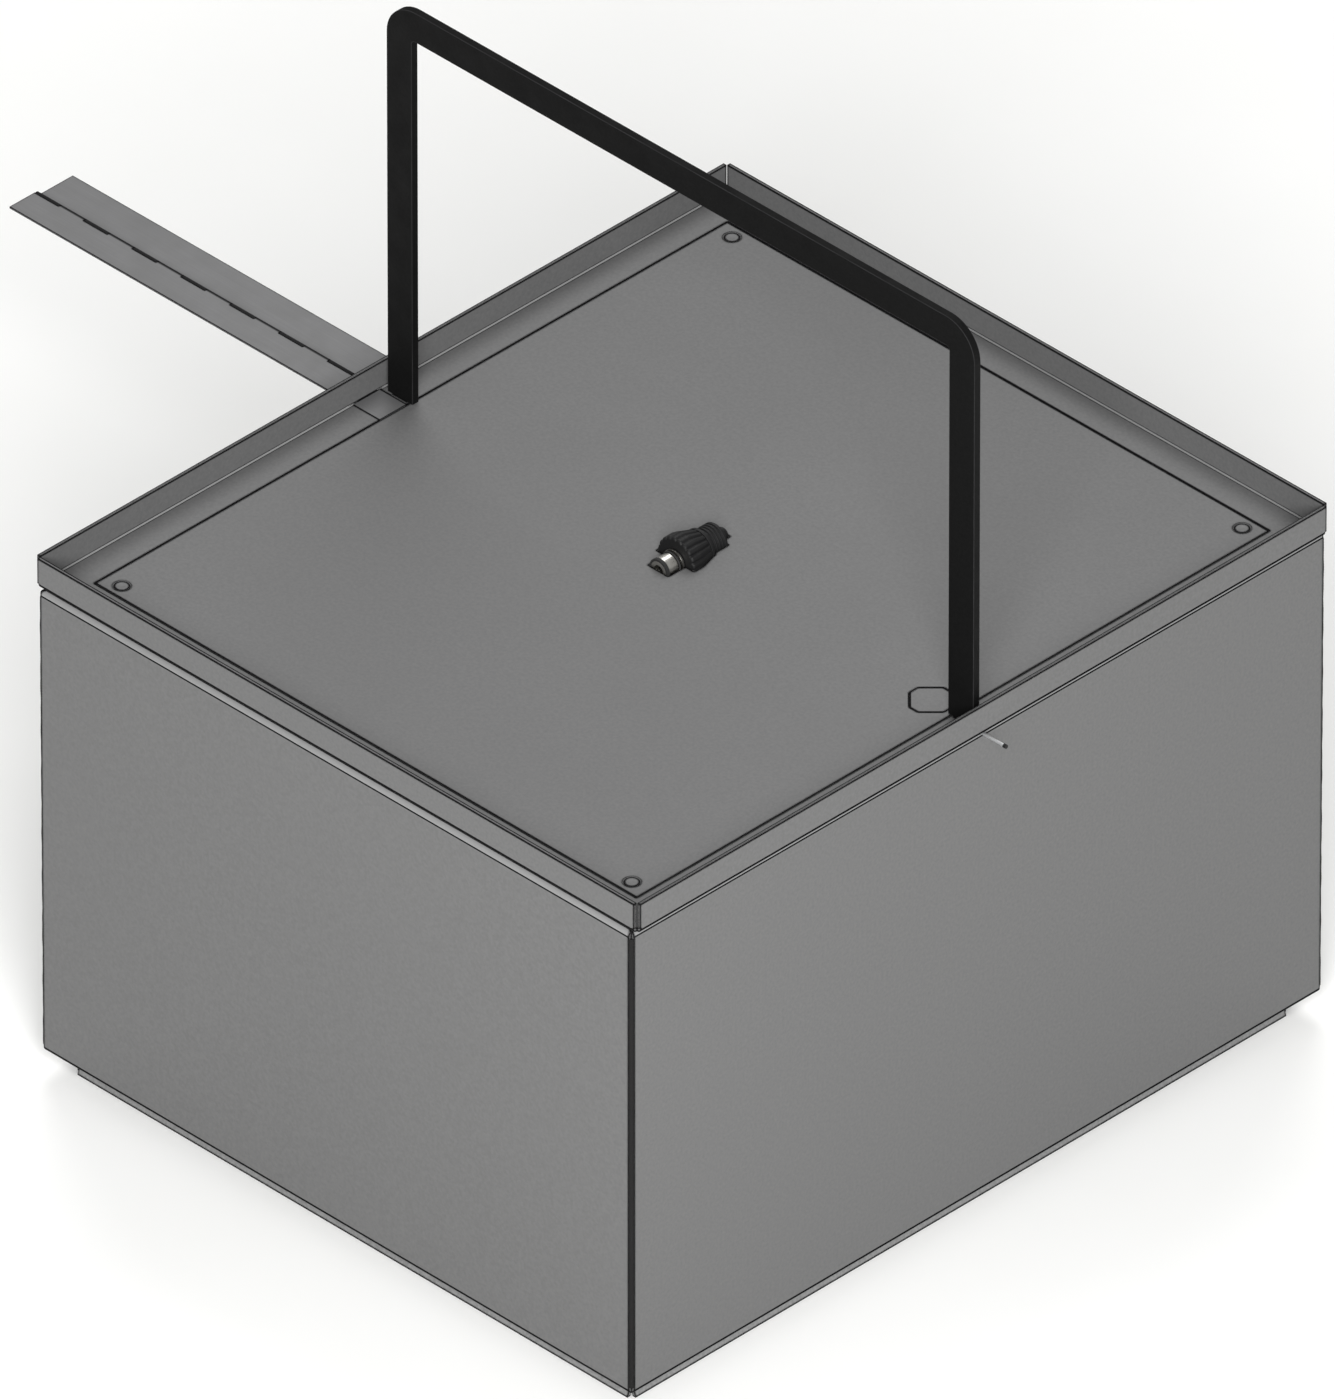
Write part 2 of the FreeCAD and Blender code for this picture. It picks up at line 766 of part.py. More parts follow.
def make_breather():
    centre = Vector(0, 0, tray_face)
    core_end = knob_end + cap_shoulder
    core = [
        (nose_start, mouth_radius),
        (nose_start, nose_radius),
        (nose_end, nose_radius),
        (nose_end, stub_radius),
        (stub_end, stub_radius),
        (stub_end, groove_radius),
        (groove_end, groove_radius),
        (groove_end, core_radius),
        (core_end, core_radius),
        (core_end, bore_radius),
        (nose_start + mouth_depth, bore_radius),
        (nose_start + mouth_depth, mouth_radius),
    ]
    save("breather_stub", [turned(core, centre, Y_AXIS)])

    nose_length = nose_end - nose_start
    end_ring = tube(centre + Y_AXIS * nose_start, Y_AXIS, end_ring_radius, nose_radius, nose_length)
    save("breather_end_ring", [end_ring])

    seal_place = centre + Y_AXIS * ((stub_end + groove_end) / 2)
    seal_radius = groove_radius + seal_thickness / 2
    save("breather_seal", [Part.makeTorus(seal_radius, seal_thickness / 2, seal_place, Y_AXIS)])

    washer_length = washer_end - washer_start
    washer = tube(centre + Y_AXIS * washer_start, Y_AXIS, washer_radius, core_radius, washer_length)
    save("breather_washer", [washer])

    knob = [
        (knob_start, core_radius + knob_core_clearance),
        (knob_start, knob_radius),
        (knob_shoulder, knob_radius),
        (knob_end, knob_end_radius),
        (knob_end, knob_bore_radius),
        (knob_start + knob_face, knob_bore_radius),
        (knob_start + knob_face, core_radius + knob_core_clearance),
    ]
    flutes = []
    for step in range(flute_count):
        angle = 2 * math.pi * step / flute_count
        out = Vector(math.cos(angle), 0, math.sin(angle)) * knob_radius
        start = centre + out + Y_AXIS * (knob_start - flute_radius)
        flutes.append(rod(start, Y_AXIS, flute_radius, knob_end - knob_start))
    save("breather_knob", [without(turned(knob, centre, Y_AXIS), flutes)])

    element_start = knob_start + knob_face + knob_core_clearance
    element_place = centre + Y_AXIS * element_start
    element_length = knob_end - element_start
    save("breather_element", [tube(element_place, Y_AXIS, element_radius, core_radius, element_length)])

    cap_start = knob_end + breather_clearance
    cap = [
        (cap_start, core_radius),
        (cap_start, knob_end_radius),
        (cap_start + cap_shoulder, knob_end_radius),
        (cap_start + cap_shoulder, cap_radius),
        (cap_end, cap_radius),
        (cap_end, tail_bore_radius),
        (cap_end - cap_wall, tail_bore_radius),
        (cap_end - cap_wall, cap_radius - cap_wall),
        (core_end, cap_radius - cap_wall),
        (core_end, core_radius),
    ]
    groove_pitch = (cap_end - cap_start - cap_shoulder) / (cap_groove_count + 1)
    grooves = []
    for step in range(cap_groove_count):
        along = cap_start + cap_shoulder + groove_pitch * (step + 1) - cap_groove_width / 2
        place = centre + Y_AXIS * along
        floor_radius = cap_radius - cap_groove_depth
        grooves.append(tube(place, Y_AXIS, knob_end_radius, floor_radius, cap_groove_width))
    neck_y = (cap_start + cap_shoulder + cap_end) / 2
    neck_top = Vector(0, neck_y, tray_face - cap_radius + cap_wall)
    neck_bore = rod(neck_top, -Z_AXIS, neck_radius, 2 * cap_wall)
    save("breather_cap", [without(turned(cap, centre, Y_AXIS), grooves + [neck_bore])])

    tail = [
        (cap_end, tail_bore_radius),
        (cap_end, tail_radius),
        (cap_end + tail_length - tail_taper, tail_radius),
        (cap_end + tail_length, tail_radius - cap_groove_depth),
        (cap_end + tail_length, tail_bore_radius),
    ]
    save("breather_tail", [turned(tail, centre, Y_AXIS)])
    return neck_y


def make_breather_well(neck_y):
    """Pan under the cover that holds the lower half of the breather, with the neck down into the tank."""
    inner_x = knob_radius + well_gap
    low_y = nose_start - well_gap
    high_y = cap_end + tail_length + well_gap
    floor = tray_face - knob_radius - well_gap
    low = floor - well_sheet
    outer_x = inner_x + well_sheet
    outer = block((-outer_x, outer_x), (low_y - well_sheet, high_y + well_sheet), (low, cover_underside))
    lip = block(
        (-inner_x - well_lip, inner_x + well_lip),
        (low_y - well_lip, high_y + well_lip),
        (cover_underside - well_sheet, cover_underside),
    )
    hollow = block((-inner_x, inner_x), (low_y, high_y), (floor, cover_underside + sheet))
    neck_hole = rod(Vector(0, neck_y, low - well_sheet), Z_AXIS, neck_radius, 4 * well_sheet)
    save("breather_well", [without(joined([outer, lip]), [hollow, neck_hole])])

    neck_high = tray_face - cap_radius + cap_groove_depth
    neck_low = low - neck_depth
    neck = tube(Vector(0, neck_y, neck_low), Z_AXIS, neck_radius, neck_bore_radius, neck_high - neck_low)
    save("breather_neck", [neck])

    saddles = []
    stub_middle = (nose_end + stub_end) / 2
    for start, radius in ((stub_middle, stub_radius), (cap_end - saddle_thickness, cap_radius)):
        span = (start, start + saddle_thickness)
        plate = block((-radius, radius), span, (floor, tray_face - radius / 2))
        seat = rod(Vector(0, span[0] - saddle_thickness, tray_face), Y_AXIS, radius, 3 * saddle_thickness)
        saddles.append(plate.cut(seat))
    save("breather_saddles", saddles)


# Probe port

def make_probe_plug():
    place = Vector(probe_centre_x, 0, 0)
    head = octagon(probe_width, cover_underside, tray_face)
    thread_low = cover_underside - probe_thread_length
    thread = rod(place + Z_AXIS * thread_low, Z_AXIS, probe_thread / 2, probe_thread_length)
    save("probe_plug", [joined([head, thread])])
    nut_top = place + Z_AXIS * (tank_top - sheet)
    nut = hexagon(nut_top, -Z_AXIS, probe_nut_width, probe_nut_height)
    bore = rod(nut_top, -Z_AXIS, probe_thread / 2 + thread_gap, probe_nut_height)
    save("probe_nut", [nut.cut(bore)])
    save("probe_magnet", [rod(place + Z_AXIS * thread_low, -Z_AXIS, magnet_diameter / 2, magnet_length)])


# Ports in the back wall

def port_boss(x, z, diameter, bore):
    start = Vector(x, back_inside - boss_inside, z)
    length = boss_inside + sheet + boss_stand_out
    return tube(start, Y_AXIS, diameter / 2, bore / 2, length)


def make_suction():
    save("suction_boss", [port_boss(suction_x, suction_height, suction_boss, suction_bore)])
    pipe_start = Vector(suction_x, back_inside - boss_inside, suction_height)
    outer = suction_pipe_diameter / 2
    save("suction_pipe", [tube(pipe_start, -Y_AXIS, outer, outer - pipe_wall, suction_pipe_length)])
    strainer_start = pipe_start - Y_AXIS * suction_pipe_length
    strainer_radius = strainer_diameter / 2
    shell = rod(strainer_start, -Y_AXIS, strainer_radius, strainer_length)
    hollow = rod(strainer_start - Y_AXIS * sheet, -Y_AXIS, outer, strainer_length - 2 * sheet)
    mouth = rod(strainer_start, -Y_AXIS, outer - pipe_wall, sheet)
    pleats = []
    for step in range(strainer_pleats):
        angle = 2 * math.pi * step / strainer_pleats
        out = Vector(math.cos(angle), 0, math.sin(angle)) * strainer_radius
        start = strainer_start + out - Y_AXIS * (2 * sheet)
        pleats.append(rod(start, -Y_AXIS, pleat_depth, strainer_length - 4 * sheet))
    save("suction_strainer", [without(shell, [hollow, mouth] + pleats)])


def make_return():
    save("return_boss", [port_boss(return_x, return_height, return_boss, return_bore)])
    start = Vector(return_x, back_inside - boss_inside, return_height)
    turn = return_pipe_bend
    corner = start - Y_AXIS * (return_pipe_run + turn)
    before = corner + Y_AXIS * turn
    after = corner - Z_AXIS * turn
    middle = corner + (Y_AXIS - Z_AXIS) * (turn * (1 - math.sqrt(0.5)))
    end = Vector(corner.x, corner.y, return_pipe_end)
    path = Part.Wire(
        [Part.makeLine(start, before), Part.Arc(before, middle, after).toShape(), Part.makeLine(after, end)]
    )
    outer = return_pipe_diameter / 2
    shells = []
    for radius in (outer, outer - pipe_wall):
        mouth = Part.Wire(Part.makeCircle(radius, start, -Y_AXIS))
        shells.append(path.makePipeShell([mouth], True, True))
    save("return_pipe", [shells[0].cut(shells[1])])


def make_drain():
    save("drain_boss", [port_boss(drain_x, drain_height, drain_boss, drain_bore)])
    face = Vector(drain_x, tank_half_y + boss_stand_out, drain_height)
    radius = drain_bore / 2
    washer_outer = drain_boss / 2 - drain_washer_inset
    save("drain_washer", [tube(face, Y_AXIS, washer_outer, radius, drain_washer_thickness)])
    head_start = face + Y_AXIS * drain_washer_thickness
    head = hexagon(head_start, Y_AXIS, drain_hex, drain_hex_height)
    thread = rod(head_start, -Y_AXIS, radius - thread_gap, drain_plug_thread)
    save("drain_plug", [joined([head, thread])])


# Level gauge

def make_gauge():
    near = tank_half_y + gauge_seal_thickness
    far = near + gauge_depth
    half_width = gauge_width / 2
    low = gauge_height - gauge_centres / 2 - gauge_end
    high = gauge_height + gauge_centres / 2 + gauge_end
    corners = [
        (gauge_x - half_width, low, half_width / 2),
        (gauge_x + half_width, low, half_width / 2),
        (gauge_x + half_width, high, half_width / 2),
        (gauge_x - half_width, high, half_width / 2),
    ]
    body = extruded(corners, "y", near, far)
    bolt_levels = gauge_bolt_levels()
    bolt_radius = gauge_bolt / 2
    bolt_holes = [
        rod(Vector(gauge_x, tank_half_y, z), Y_AXIS, bolt_radius + thread_gap, 2 * gauge_depth)
        for z in bolt_levels
    ]
    window_low = bolt_levels[0] + window_end_gap
    window_high = bolt_levels[1] - window_end_gap
    middle_y = (near + far) / 2
    bore = rod(Vector(gauge_x, middle_y, window_low), Z_AXIS, window_diameter / 2, window_high - window_low)
    slot_half = window_slot / 2
    slot_span = (gauge_x - slot_half, gauge_x + slot_half)
    slot = block(slot_span, (middle_y, far + sheet), (window_low, window_high))
    save("gauge_body", [without(body, bolt_holes + [bore, slot])])
    glass_radius = window_diameter / 2 - thread_gap
    glass_bore = glass_radius - glass_wall
    glass_base = Vector(gauge_x, middle_y, window_low)
    save("gauge_tube", [tube(glass_base, Z_AXIS, glass_radius, glass_bore, window_high - window_low)])

    bolts = []
    seals = []
    nuts = []
    for z in bolt_levels:
        outside = Vector(gauge_x, far, z)
        head = hexagon(outside, Y_AXIS, gauge_bolt_head, gauge_bolt_head_height)
        shank_length = far - back_inside + gauge_bolt_inside
        bolts.append(head.fuse(rod(outside, -Y_AXIS, bolt_radius, shank_length)))
        wall_face = Vector(gauge_x, tank_half_y, z)
        seals.append(tube(wall_face, Y_AXIS, gauge_seal_diameter / 2, bolt_radius, gauge_seal_thickness))
        inside = Vector(gauge_x, back_inside, z)
        nut = hexagon(inside, -Y_AXIS, gauge_nut_width, gauge_nut_height)
        nuts.append(nut.cut(rod(inside, -Y_AXIS, bolt_radius + thread_gap, gauge_nut_height)))
    save("gauge_bolts", bolts)
    save("gauge_seals", seals)
    save("gauge_nuts", nuts)


os.makedirs("parts", exist_ok=True)
make_walls()
make_corner_welds()
make_bottom_plate()
make_skirt()
make_base_channel()
make_baffle()
make_tray()
make_cover()
make_cover_screws()
make_hoop()
make_hoop_pins()
make_hinge()
make_breather_well(make_breather())
make_probe_plug()
make_suction()
make_return()
make_drain()
make_gauge()
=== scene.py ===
import json
import math

import bpy
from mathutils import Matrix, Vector


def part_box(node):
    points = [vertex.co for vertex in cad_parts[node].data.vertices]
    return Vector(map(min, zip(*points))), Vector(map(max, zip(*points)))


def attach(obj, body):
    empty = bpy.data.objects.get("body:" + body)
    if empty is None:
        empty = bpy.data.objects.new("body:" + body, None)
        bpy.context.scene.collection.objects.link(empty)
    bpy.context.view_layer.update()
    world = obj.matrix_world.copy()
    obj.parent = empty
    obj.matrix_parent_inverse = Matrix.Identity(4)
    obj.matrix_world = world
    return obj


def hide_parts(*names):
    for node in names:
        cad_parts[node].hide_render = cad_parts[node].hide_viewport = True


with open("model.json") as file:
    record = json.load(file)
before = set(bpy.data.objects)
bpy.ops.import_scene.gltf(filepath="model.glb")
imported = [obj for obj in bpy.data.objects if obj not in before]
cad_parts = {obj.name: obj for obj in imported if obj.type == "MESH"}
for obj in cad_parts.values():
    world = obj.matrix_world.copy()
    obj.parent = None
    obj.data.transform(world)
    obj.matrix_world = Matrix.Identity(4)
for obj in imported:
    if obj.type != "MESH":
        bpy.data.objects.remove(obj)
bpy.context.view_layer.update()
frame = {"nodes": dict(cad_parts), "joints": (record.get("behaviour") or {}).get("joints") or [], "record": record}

# Sizes are in metres, as the frame is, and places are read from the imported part.
MM = 0.001
nodes = frame["nodes"]
record = frame["record"]
scene = bpy.context.scene
hinge_joint = next(joint for joint in frame["joints"] if joint["name"] == "leaf_swing")
hinge_line = Vector(hinge_joint["pos_m"])


# Shader nodes

def linear(hex_colour):
    """sRGB hex colour as linear RGBA."""
    parts = []
    for start in (1, 3, 5):
        value = int(hex_colour[start:start + 2], 16) / 255
        parts.append(value / 12.92 if value <= 0.04045 else ((value + 0.055) / 1.055) ** 2.4)
    return (*parts, 1.0)


def add_node(tree, kind, inputs, **settings):
    """Add a shader node. An input takes a number, a hex colour, or the node or socket that feeds it."""
    made = tree.nodes.new("ShaderNode" + kind)
    for name, value in settings.items():
        setattr(made, name, value)
    for name, value in inputs.items():
        named = [made.inputs[name]] if isinstance(name, int) else [
            socket for socket in made.inputs if socket.name == name and socket.enabled
        ]
        if isinstance(value, bpy.types.Node):
            value = next(socket for socket in value.outputs if socket.enabled)
        if isinstance(value, bpy.types.NodeSocket):
            tree.links.new(value, named[0])
        else:
            named[0].default_value = linear(value) if isinstance(value, str) else value
    return made


def new_material(name):
    """A new material, its node tree and the surface's own coordinates in metres."""
    material = bpy.data.materials.new(name)
    material.use_nodes = True
    tree = material.node_tree
    tree.nodes.clear()
    return material, tree, add_node(tree, "TexCoord", {}).outputs["Object"]


def worn_corners(tree, width):
    """How near the surface is to a corner of its piece, from 1 down to 0, and its normal rounded there."""
    on_the_flat = 0.995
    on_the_corner = 0.95
    rounded = add_node(tree, "Bevel", {"Radius": width}, samples=8)
    true_normal = add_node(tree, "NewGeometry", {}).outputs["Normal"]
    agreement = add_node(tree, "VectorMath", {0: rounded, 1: true_normal}, operation="DOT_PRODUCT")
    near = add_node(tree, "MapRange", {"Value": agreement, "From Min": on_the_flat,
                                        "From Max": on_the_corner})
    return near, rounded


# Finishes

def grey_powder_coat(name, deep, pale, folded):
    """Grey polyester powder coat, sprayed on folded sheet steel and baked.

    The film dries to a fine orange peel that breaks up its gloss, and varies a little in depth of colour,
    with a fleck of pigment. It pulls thin on every cut corner, where it has rubbed through to the dull dark
    scale, and every inner crease is made just as dark, as painted shade. On a folded sheet each bend is made
    pale where it faces partly upward, as a painted highlight, with painted shade as dark lines along both
    sides of the bend and a dark band under it, all chosen by the way the surface faces. The peel is really
    1.5 mm across and the fleck 0.5 mm, and they are drawn at 4 mm and 2.5 mm, so that they show.
    """
    # Middle and reach of the upward part of the normal: the painted highlight on a bend, then the painted shade
    # under it, at its foot and at its top.
    on_bend = (0.62, 0.34)
    beside_bend = ((-0.3, 0.29), (0.145, 0.135), (0.975, 0.022))
    material, tree, place = new_material(name)
    cloud = add_node(tree, "TexNoise", {"Vector": place, "Scale": 1 / (220 * MM), "Detail": 3.0})
    fleck = add_node(tree, "TexNoise", {"Vector": place, "Scale": 1 / (2.5 * MM), "Detail": 2.0})
    peel = add_node(tree, "TexNoise", {"Vector": place, "Scale": 1 / (4 * MM), "Detail": 1.0})
    film = add_node(tree, "Mix", {"Factor": cloud, "A": deep, "B": pale}, data_type="RGBA")
    coat = add_node(tree, "Mix", {"Factor": fleck, "A": film, "B": "#676767"}, data_type="RGBA")
    # Near black on every corner and crease: rubbed through on the outer corners, painted shade in the inner
    # creases.
    dirt, _ = worn_corners(tree, 3 * MM)
    if folded:
        normal = add_node(tree, "NewGeometry", {}).outputs["Normal"]
        upward = add_node(tree, "SeparateXYZ", {"Vector": normal}).outputs["Z"]
        # Painted highlight: the bend is made paler where it faces partly upward.
        bend = add_node(tree, "Math", {0: upward, 1: on_bend[0], 2: on_bend[1]}, operation="COMPARE")
        coat = add_node(tree, "Mix", {"Factor": bend, "A": coat, "B": "#828282"}, data_type="RGBA")
        # Painted shade: dark lines beside each bend and a dark band under it, chosen by the way the surface faces.
        for middle, reach in beside_bend:
            line = add_node(tree, "Math", {0: upward, 1: middle, 2: reach}, operation="COMPARE")
            dirt = add_node(tree, "Math", {0: dirt, 1: line}, operation="MAXIMUM")
    colour = add_node(tree, "Mix", {"Factor": dirt, "A": coat, "B": "#0c0c0d"}, data_type="RGBA")
    gloss = add_node(tree, "MapRange", {"Value": cloud, "From Min": 0.3, "From Max": 0.7,
                                        "To Min": 0.56, "To Max": 0.66})
    dulled = add_node(tree, "Math", {0: gloss, 1: dirt}, operation="MAXIMUM")
    sheen = add_node(tree, "MapRange", {"Value": dirt, "To Min": 0.5, "To Max": 0.08})
    bump = add_node(tree, "Bump", {"Height": peel, "Distance": 0.12 * MM})
    shader = add_node(tree, "BsdfPrincipled", {
        "Base Color": colour, "Roughness": dulled, "Normal": bump, "IOR": 1.5, "Specular IOR Level": sheen,
    })
    add_node(tree, "OutputMaterial", {"Surface": shader})
    return material


def scaled_weld_bead():
    """Weld bead as it cooled: rippled, and coloured a dark grey, near black, all over."""
    material, tree, place = new_material("near_black_weld_bead_finish")
    scale = add_node(tree, "TexNoise", {"Vector": place, "Scale": 1 / (1.5 * MM), "Detail": 3.0})
    colour = add_node(tree, "Mix", {"Factor": scale, "A": "#080809", "B": "#1b1a1a"}, data_type="RGBA")
    gloss = add_node(tree, "MapRange", {"Value": scale, "To Min": 0.55, "To Max": 0.85})
    bump = add_node(tree, "Bump", {"Height": scale, "Distance": 0.1 * MM})
    shader = add_node(tree, "BsdfPrincipled", {
        "Base Color": colour, "Roughness": gloss, "Normal": bump, "IOR": 1.5, "Specular IOR Level": 0.2,
    })
    add_node(tree, "OutputMaterial", {"Surface": shader})
    return material


def black_powder_coat():
    """Black textured powder coat on the rolled flat bar.

    The coat is matt and slightly grainy. Its grain traps most of the light that would glance off, so it stays
    near black from every side, with a thin sheen on the rounded corners. The grain is really 0.5 mm across
    and is drawn at 2.5 mm, so that it shows.
    """
    material, tree, place = new_material("black_powder_coated_bar")
    grain = add_node(tree, "TexNoise", {"Vector": place, "Scale": 1 / (2.5 * MM), "Detail": 3.0})
    scuff = add_node(tree, "TexNoise", {"Vector": place, "Scale": 1 / (25 * MM), "Detail": 4.0})
    coat = add_node(tree, "Mix", {"Factor": grain, "A": "#070707", "B": "#121212"}, data_type="RGBA")
    corner, rounded = worn_corners(tree, 0.9 * MM)
    rubbed = add_node(tree, "Math", {0: corner, 1: scuff}, operation="MULTIPLY")
    colour = add_node(tree, "Mix", {"Factor": rubbed, "A": coat, "B": "#3c3c3d"}, data_type="RGBA")
    gloss = add_node(tree, "MapRange", {"Value": scuff, "From Min": 0.3, "From Max": 0.7,
                                        "To Min": 0.62, "To Max": 0.78})
    bump = add_node(tree, "Bump", {"Height": grain, "Distance": 0.1 * MM, "Normal": rounded})
    shader = add_node(tree, "BsdfPrincipled", {
        "Base Color": colour, "Roughness": gloss, "Normal": bump, "IOR": 1.45, "Specular IOR Level": 0.1,
    })
    add_node(tree, "OutputMaterial", {"Surface": shader})
    return material


def phosphated_hinge_strip():
    """Piano hinge rolled from strip steel, with a dull grey phosphate finish.

    Fine lines from rolling run along the leaves. The barrel is painted much darker than the leaves, as painted
    shade, and the sheared edges are dark as well, with painted shade in the creases. The lines are really 0.2 mm
    apart and are drawn 1.2 mm apart, so that they show.
    """
    material, tree, place = new_material("phosphated_rolled_strip")
    line_scale = (1 / (60 * MM), 1 / (1.2 * MM), 1 / (1.2 * MM))
    along = add_node(tree, "Mapping", {"Vector": place, "Scale": line_scale})
    rolling = add_node(tree, "TexNoise", {"Vector": along, "Scale": 1.0, "Detail": 2.0})
    mottle = add_node(tree, "TexNoise", {"Vector": place, "Scale": 1 / (18 * MM), "Detail": 3.0})
    strip = add_node(tree, "Mix", {"Factor": rolling, "A": "#555556", "B": "#6a6a6b"}, data_type="RGBA")
    strip = add_node(tree, "Mix", {"Factor": mottle, "A": strip, "B": "#666666"}, data_type="RGBA")
    # Painted shade: the barrel, within about 3 mm of the hinge line, is made near black.
    away = add_node(tree, "VectorMath", {0: place, 1: hinge_line}, operation="SUBTRACT")
    across = add_node(tree, "VectorMath", {0: away, 1: (0, 1, 1)}, operation="MULTIPLY")
    distance = add_node(tree, "VectorMath", {0: across}, operation="LENGTH")
    oiled = add_node(tree, "MapRange", {"Value": distance, "From Min": 3.2 * MM, "From Max": 2.7 * MM})
    x = add_node(tree, "SeparateXYZ", {"Vector": place}).outputs["X"]
    barrel_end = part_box("hinge_moving_leaf")[1].x
    outside = add_node(tree, "Math", {0: x, 1: barrel_end}, operation="LESS_THAN")
    oiled = add_node(tree, "Math", {0: oiled, 1: outside}, operation="MULTIPLY")
    corner, rounded = worn_corners(tree, 1.6 * MM)
    # Painted shade on the barrel and in the creases, and dark sheared edges.
    dark = add_node(tree, "Math", {0: corner, 1: oiled}, operation="MAXIMUM")
    colour = add_node(tree, "Mix", {"Factor": dark, "A": strip, "B": "#101011"}, data_type="RGBA")
    gloss = add_node(tree, "MapRange", {"Value": mottle, "From Min": 0.3, "From Max": 0.7,
                                        "To Min": 0.45, "To Max": 0.6})
    dulled = add_node(tree, "Math", {0: gloss, 1: dark}, operation="MAXIMUM")
    sheen = add_node(tree, "MapRange", {"Value": dark, "To Min": 0.5, "To Max": 0.08})
    bump = add_node(tree, "Bump", {"Height": rolling, "Distance": 0.04 * MM, "Normal": rounded})
    shader = add_node(tree, "BsdfPrincipled", {
        "Base Color": colour, "Roughness": dulled, "Normal": bump,
        "Metallic": 0.15, "Specular IOR Level": sheen,
    })
    add_node(tree, "OutputMaterial", {"Surface": shader})
    return material


def bright_drawn_steel():
    """Drawn steel rod, pickled to a pale satin skin, with faint lines along it from the die.

    The lines are really 0.1 mm apart and are drawn 0.5 mm apart, so that they show.
    """
    material, tree, place = new_material("bright_drawn_steel")
    line_scale = (1 / (25 * MM), 1 / (0.5 * MM), 1 / (0.5 * MM))
    along = add_node(tree, "Mapping", {"Vector": place, "Scale": line_scale})
    lines = add_node(tree, "TexNoise", {"Vector": along, "Scale": 1.0, "Detail": 2.0})
    colour = add_node(tree, "Mix", {"Factor": lines, "A": "#cfd1d3", "B": "#ececed"}, data_type="RGBA")
    gloss = add_node(tree, "MapRange", {"Value": lines, "To Min": 0.45, "To Max": 0.6})
    bump = add_node(tree, "Bump", {"Height": lines, "Distance": 0.02 * MM})
    shader = add_node(tree, "BsdfPrincipled", {
        "Base Color": colour, "Metallic": 1.0, "Roughness": gloss, "Normal": bump,
    })
    add_node(tree, "OutputMaterial", {"Surface": shader})
    return material


def nickel_plated_brass():
    """Brass turned on a lathe and nickel plated: bright, slightly warm, with fine rings from the tool.

    The rings are really 0.1 mm apart and are drawn 0.5 mm apart, so that they show.
    """
    material, tree, place = new_material("nickel_plated_turned_brass")
    ring_scale = math.pi / (10 * 0.5 * MM)
    rings = add_node(tree, "TexWave", {"Vector": place, "Scale": ring_scale, "Distortion": 0.6},
                     bands_direction="Y")
    stain = add_node(tree, "TexNoise", {"Vector": place, "Scale": 1 / (5 * MM), "Detail": 3.0})
    plate = add_node(tree, "Mix", {"Factor": stain, "A": "#9d9b95", "B": "#dcdad4"}, data_type="RGBA")
    corner, rounded = worn_corners(tree, 0.35 * MM)
    # Darker at the corners and creases: rubbed on the outer edges, painted shade in the inner creases.
    worn = add_node(tree, "Math", {0: corner, 1: 0.7}, operation="MULTIPLY")
    colour = add_node(tree, "Mix", {"Factor": worn, "A": plate, "B": "#3c3b39"}, data_type="RGBA")
    gloss = add_node(tree, "MapRange", {"Value": stain, "To Min": 0.2, "To Max": 0.38})
    bump = add_node(tree, "Bump", {"Height": rings, "Distance": 0.012 * MM, "Normal": rounded})
    shader = add_node(tree, "BsdfPrincipled", {
        "Base Color": colour, "Metallic": 1.0, "Roughness": gloss, "Normal": bump,
    })
    add_node(tree, "OutputMaterial", {"Surface": shader})
    return material


def glass_filled_nylon():
    """Black glass-filled nylon, moulded in a spark-eroded tool.

    It is matt with a fine even grain, greyer where fingers have rubbed the corners.
    """
    material, tree, place = new_material("black_glass_filled_nylon")
    grain = add_node(tree, "TexNoise", {"Vector": place, "Scale": 1 / (0.7 * MM), "Detail": 3.0})
    flow = add_node(tree, "TexNoise", {"Vector": place, "Scale": 1 / (12 * MM), "Detail": 2.0})
    moulded = add_node(tree, "Mix", {"Factor": flow, "A": "#060606", "B": "#111112"}, data_type="RGBA")
    corner, rounded = worn_corners(tree, 0.4 * MM)
    worn = add_node(tree, "Math", {0: corner, 1: 0.5}, operation="MULTIPLY")
    colour = add_node(tree, "Mix", {"Factor": worn, "A": moulded, "B": "#262627"}, data_type="RGBA")
    gloss = add_node(tree, "MapRange", {"Value": grain, "From Min": 0.3, "From Max": 0.7,
                                        "To Min": 0.55, "To Max": 0.72})
    bump = add_node(tree, "Bump", {"Height": grain, "Distance": 0.05 * MM, "Normal": rounded})
    shader = add_node(tree, "BsdfPrincipled", {
        "Base Color": colour, "Roughness": gloss, "Normal": bump, "IOR": 1.53, "Specular IOR Level": 0.3,
    })
    add_node(tree, "OutputMaterial", {"Surface": shader})
    return material


def nitrile_rubber():
    """Black nitrile rubber, pressed: dull, with a faint bloom of dust."""
    material, tree, place = new_material("black_nitrile_rubber")
    bloom = add_node(tree, "TexNoise", {"Vector": place, "Scale": 1 / (4 * MM), "Detail": 4.0})
    colour = add_node(tree, "Mix", {"Factor": bloom, "A": "#080808", "B": "#242423"}, data_type="RGBA")
    gloss = add_node(tree, "MapRange", {"Value": bloom, "To Min": 0.65, "To Max": 0.9})
    bump = add_node(tree, "Bump", {"Height": bloom, "Distance": 0.03 * MM})
    shader = add_node(tree, "BsdfPrincipled", {
        "Base Color": colour, "Roughness": gloss, "Normal": bump, "IOR": 1.52,
    })
    add_node(tree, "OutputMaterial", {"Surface": shader})
    return material


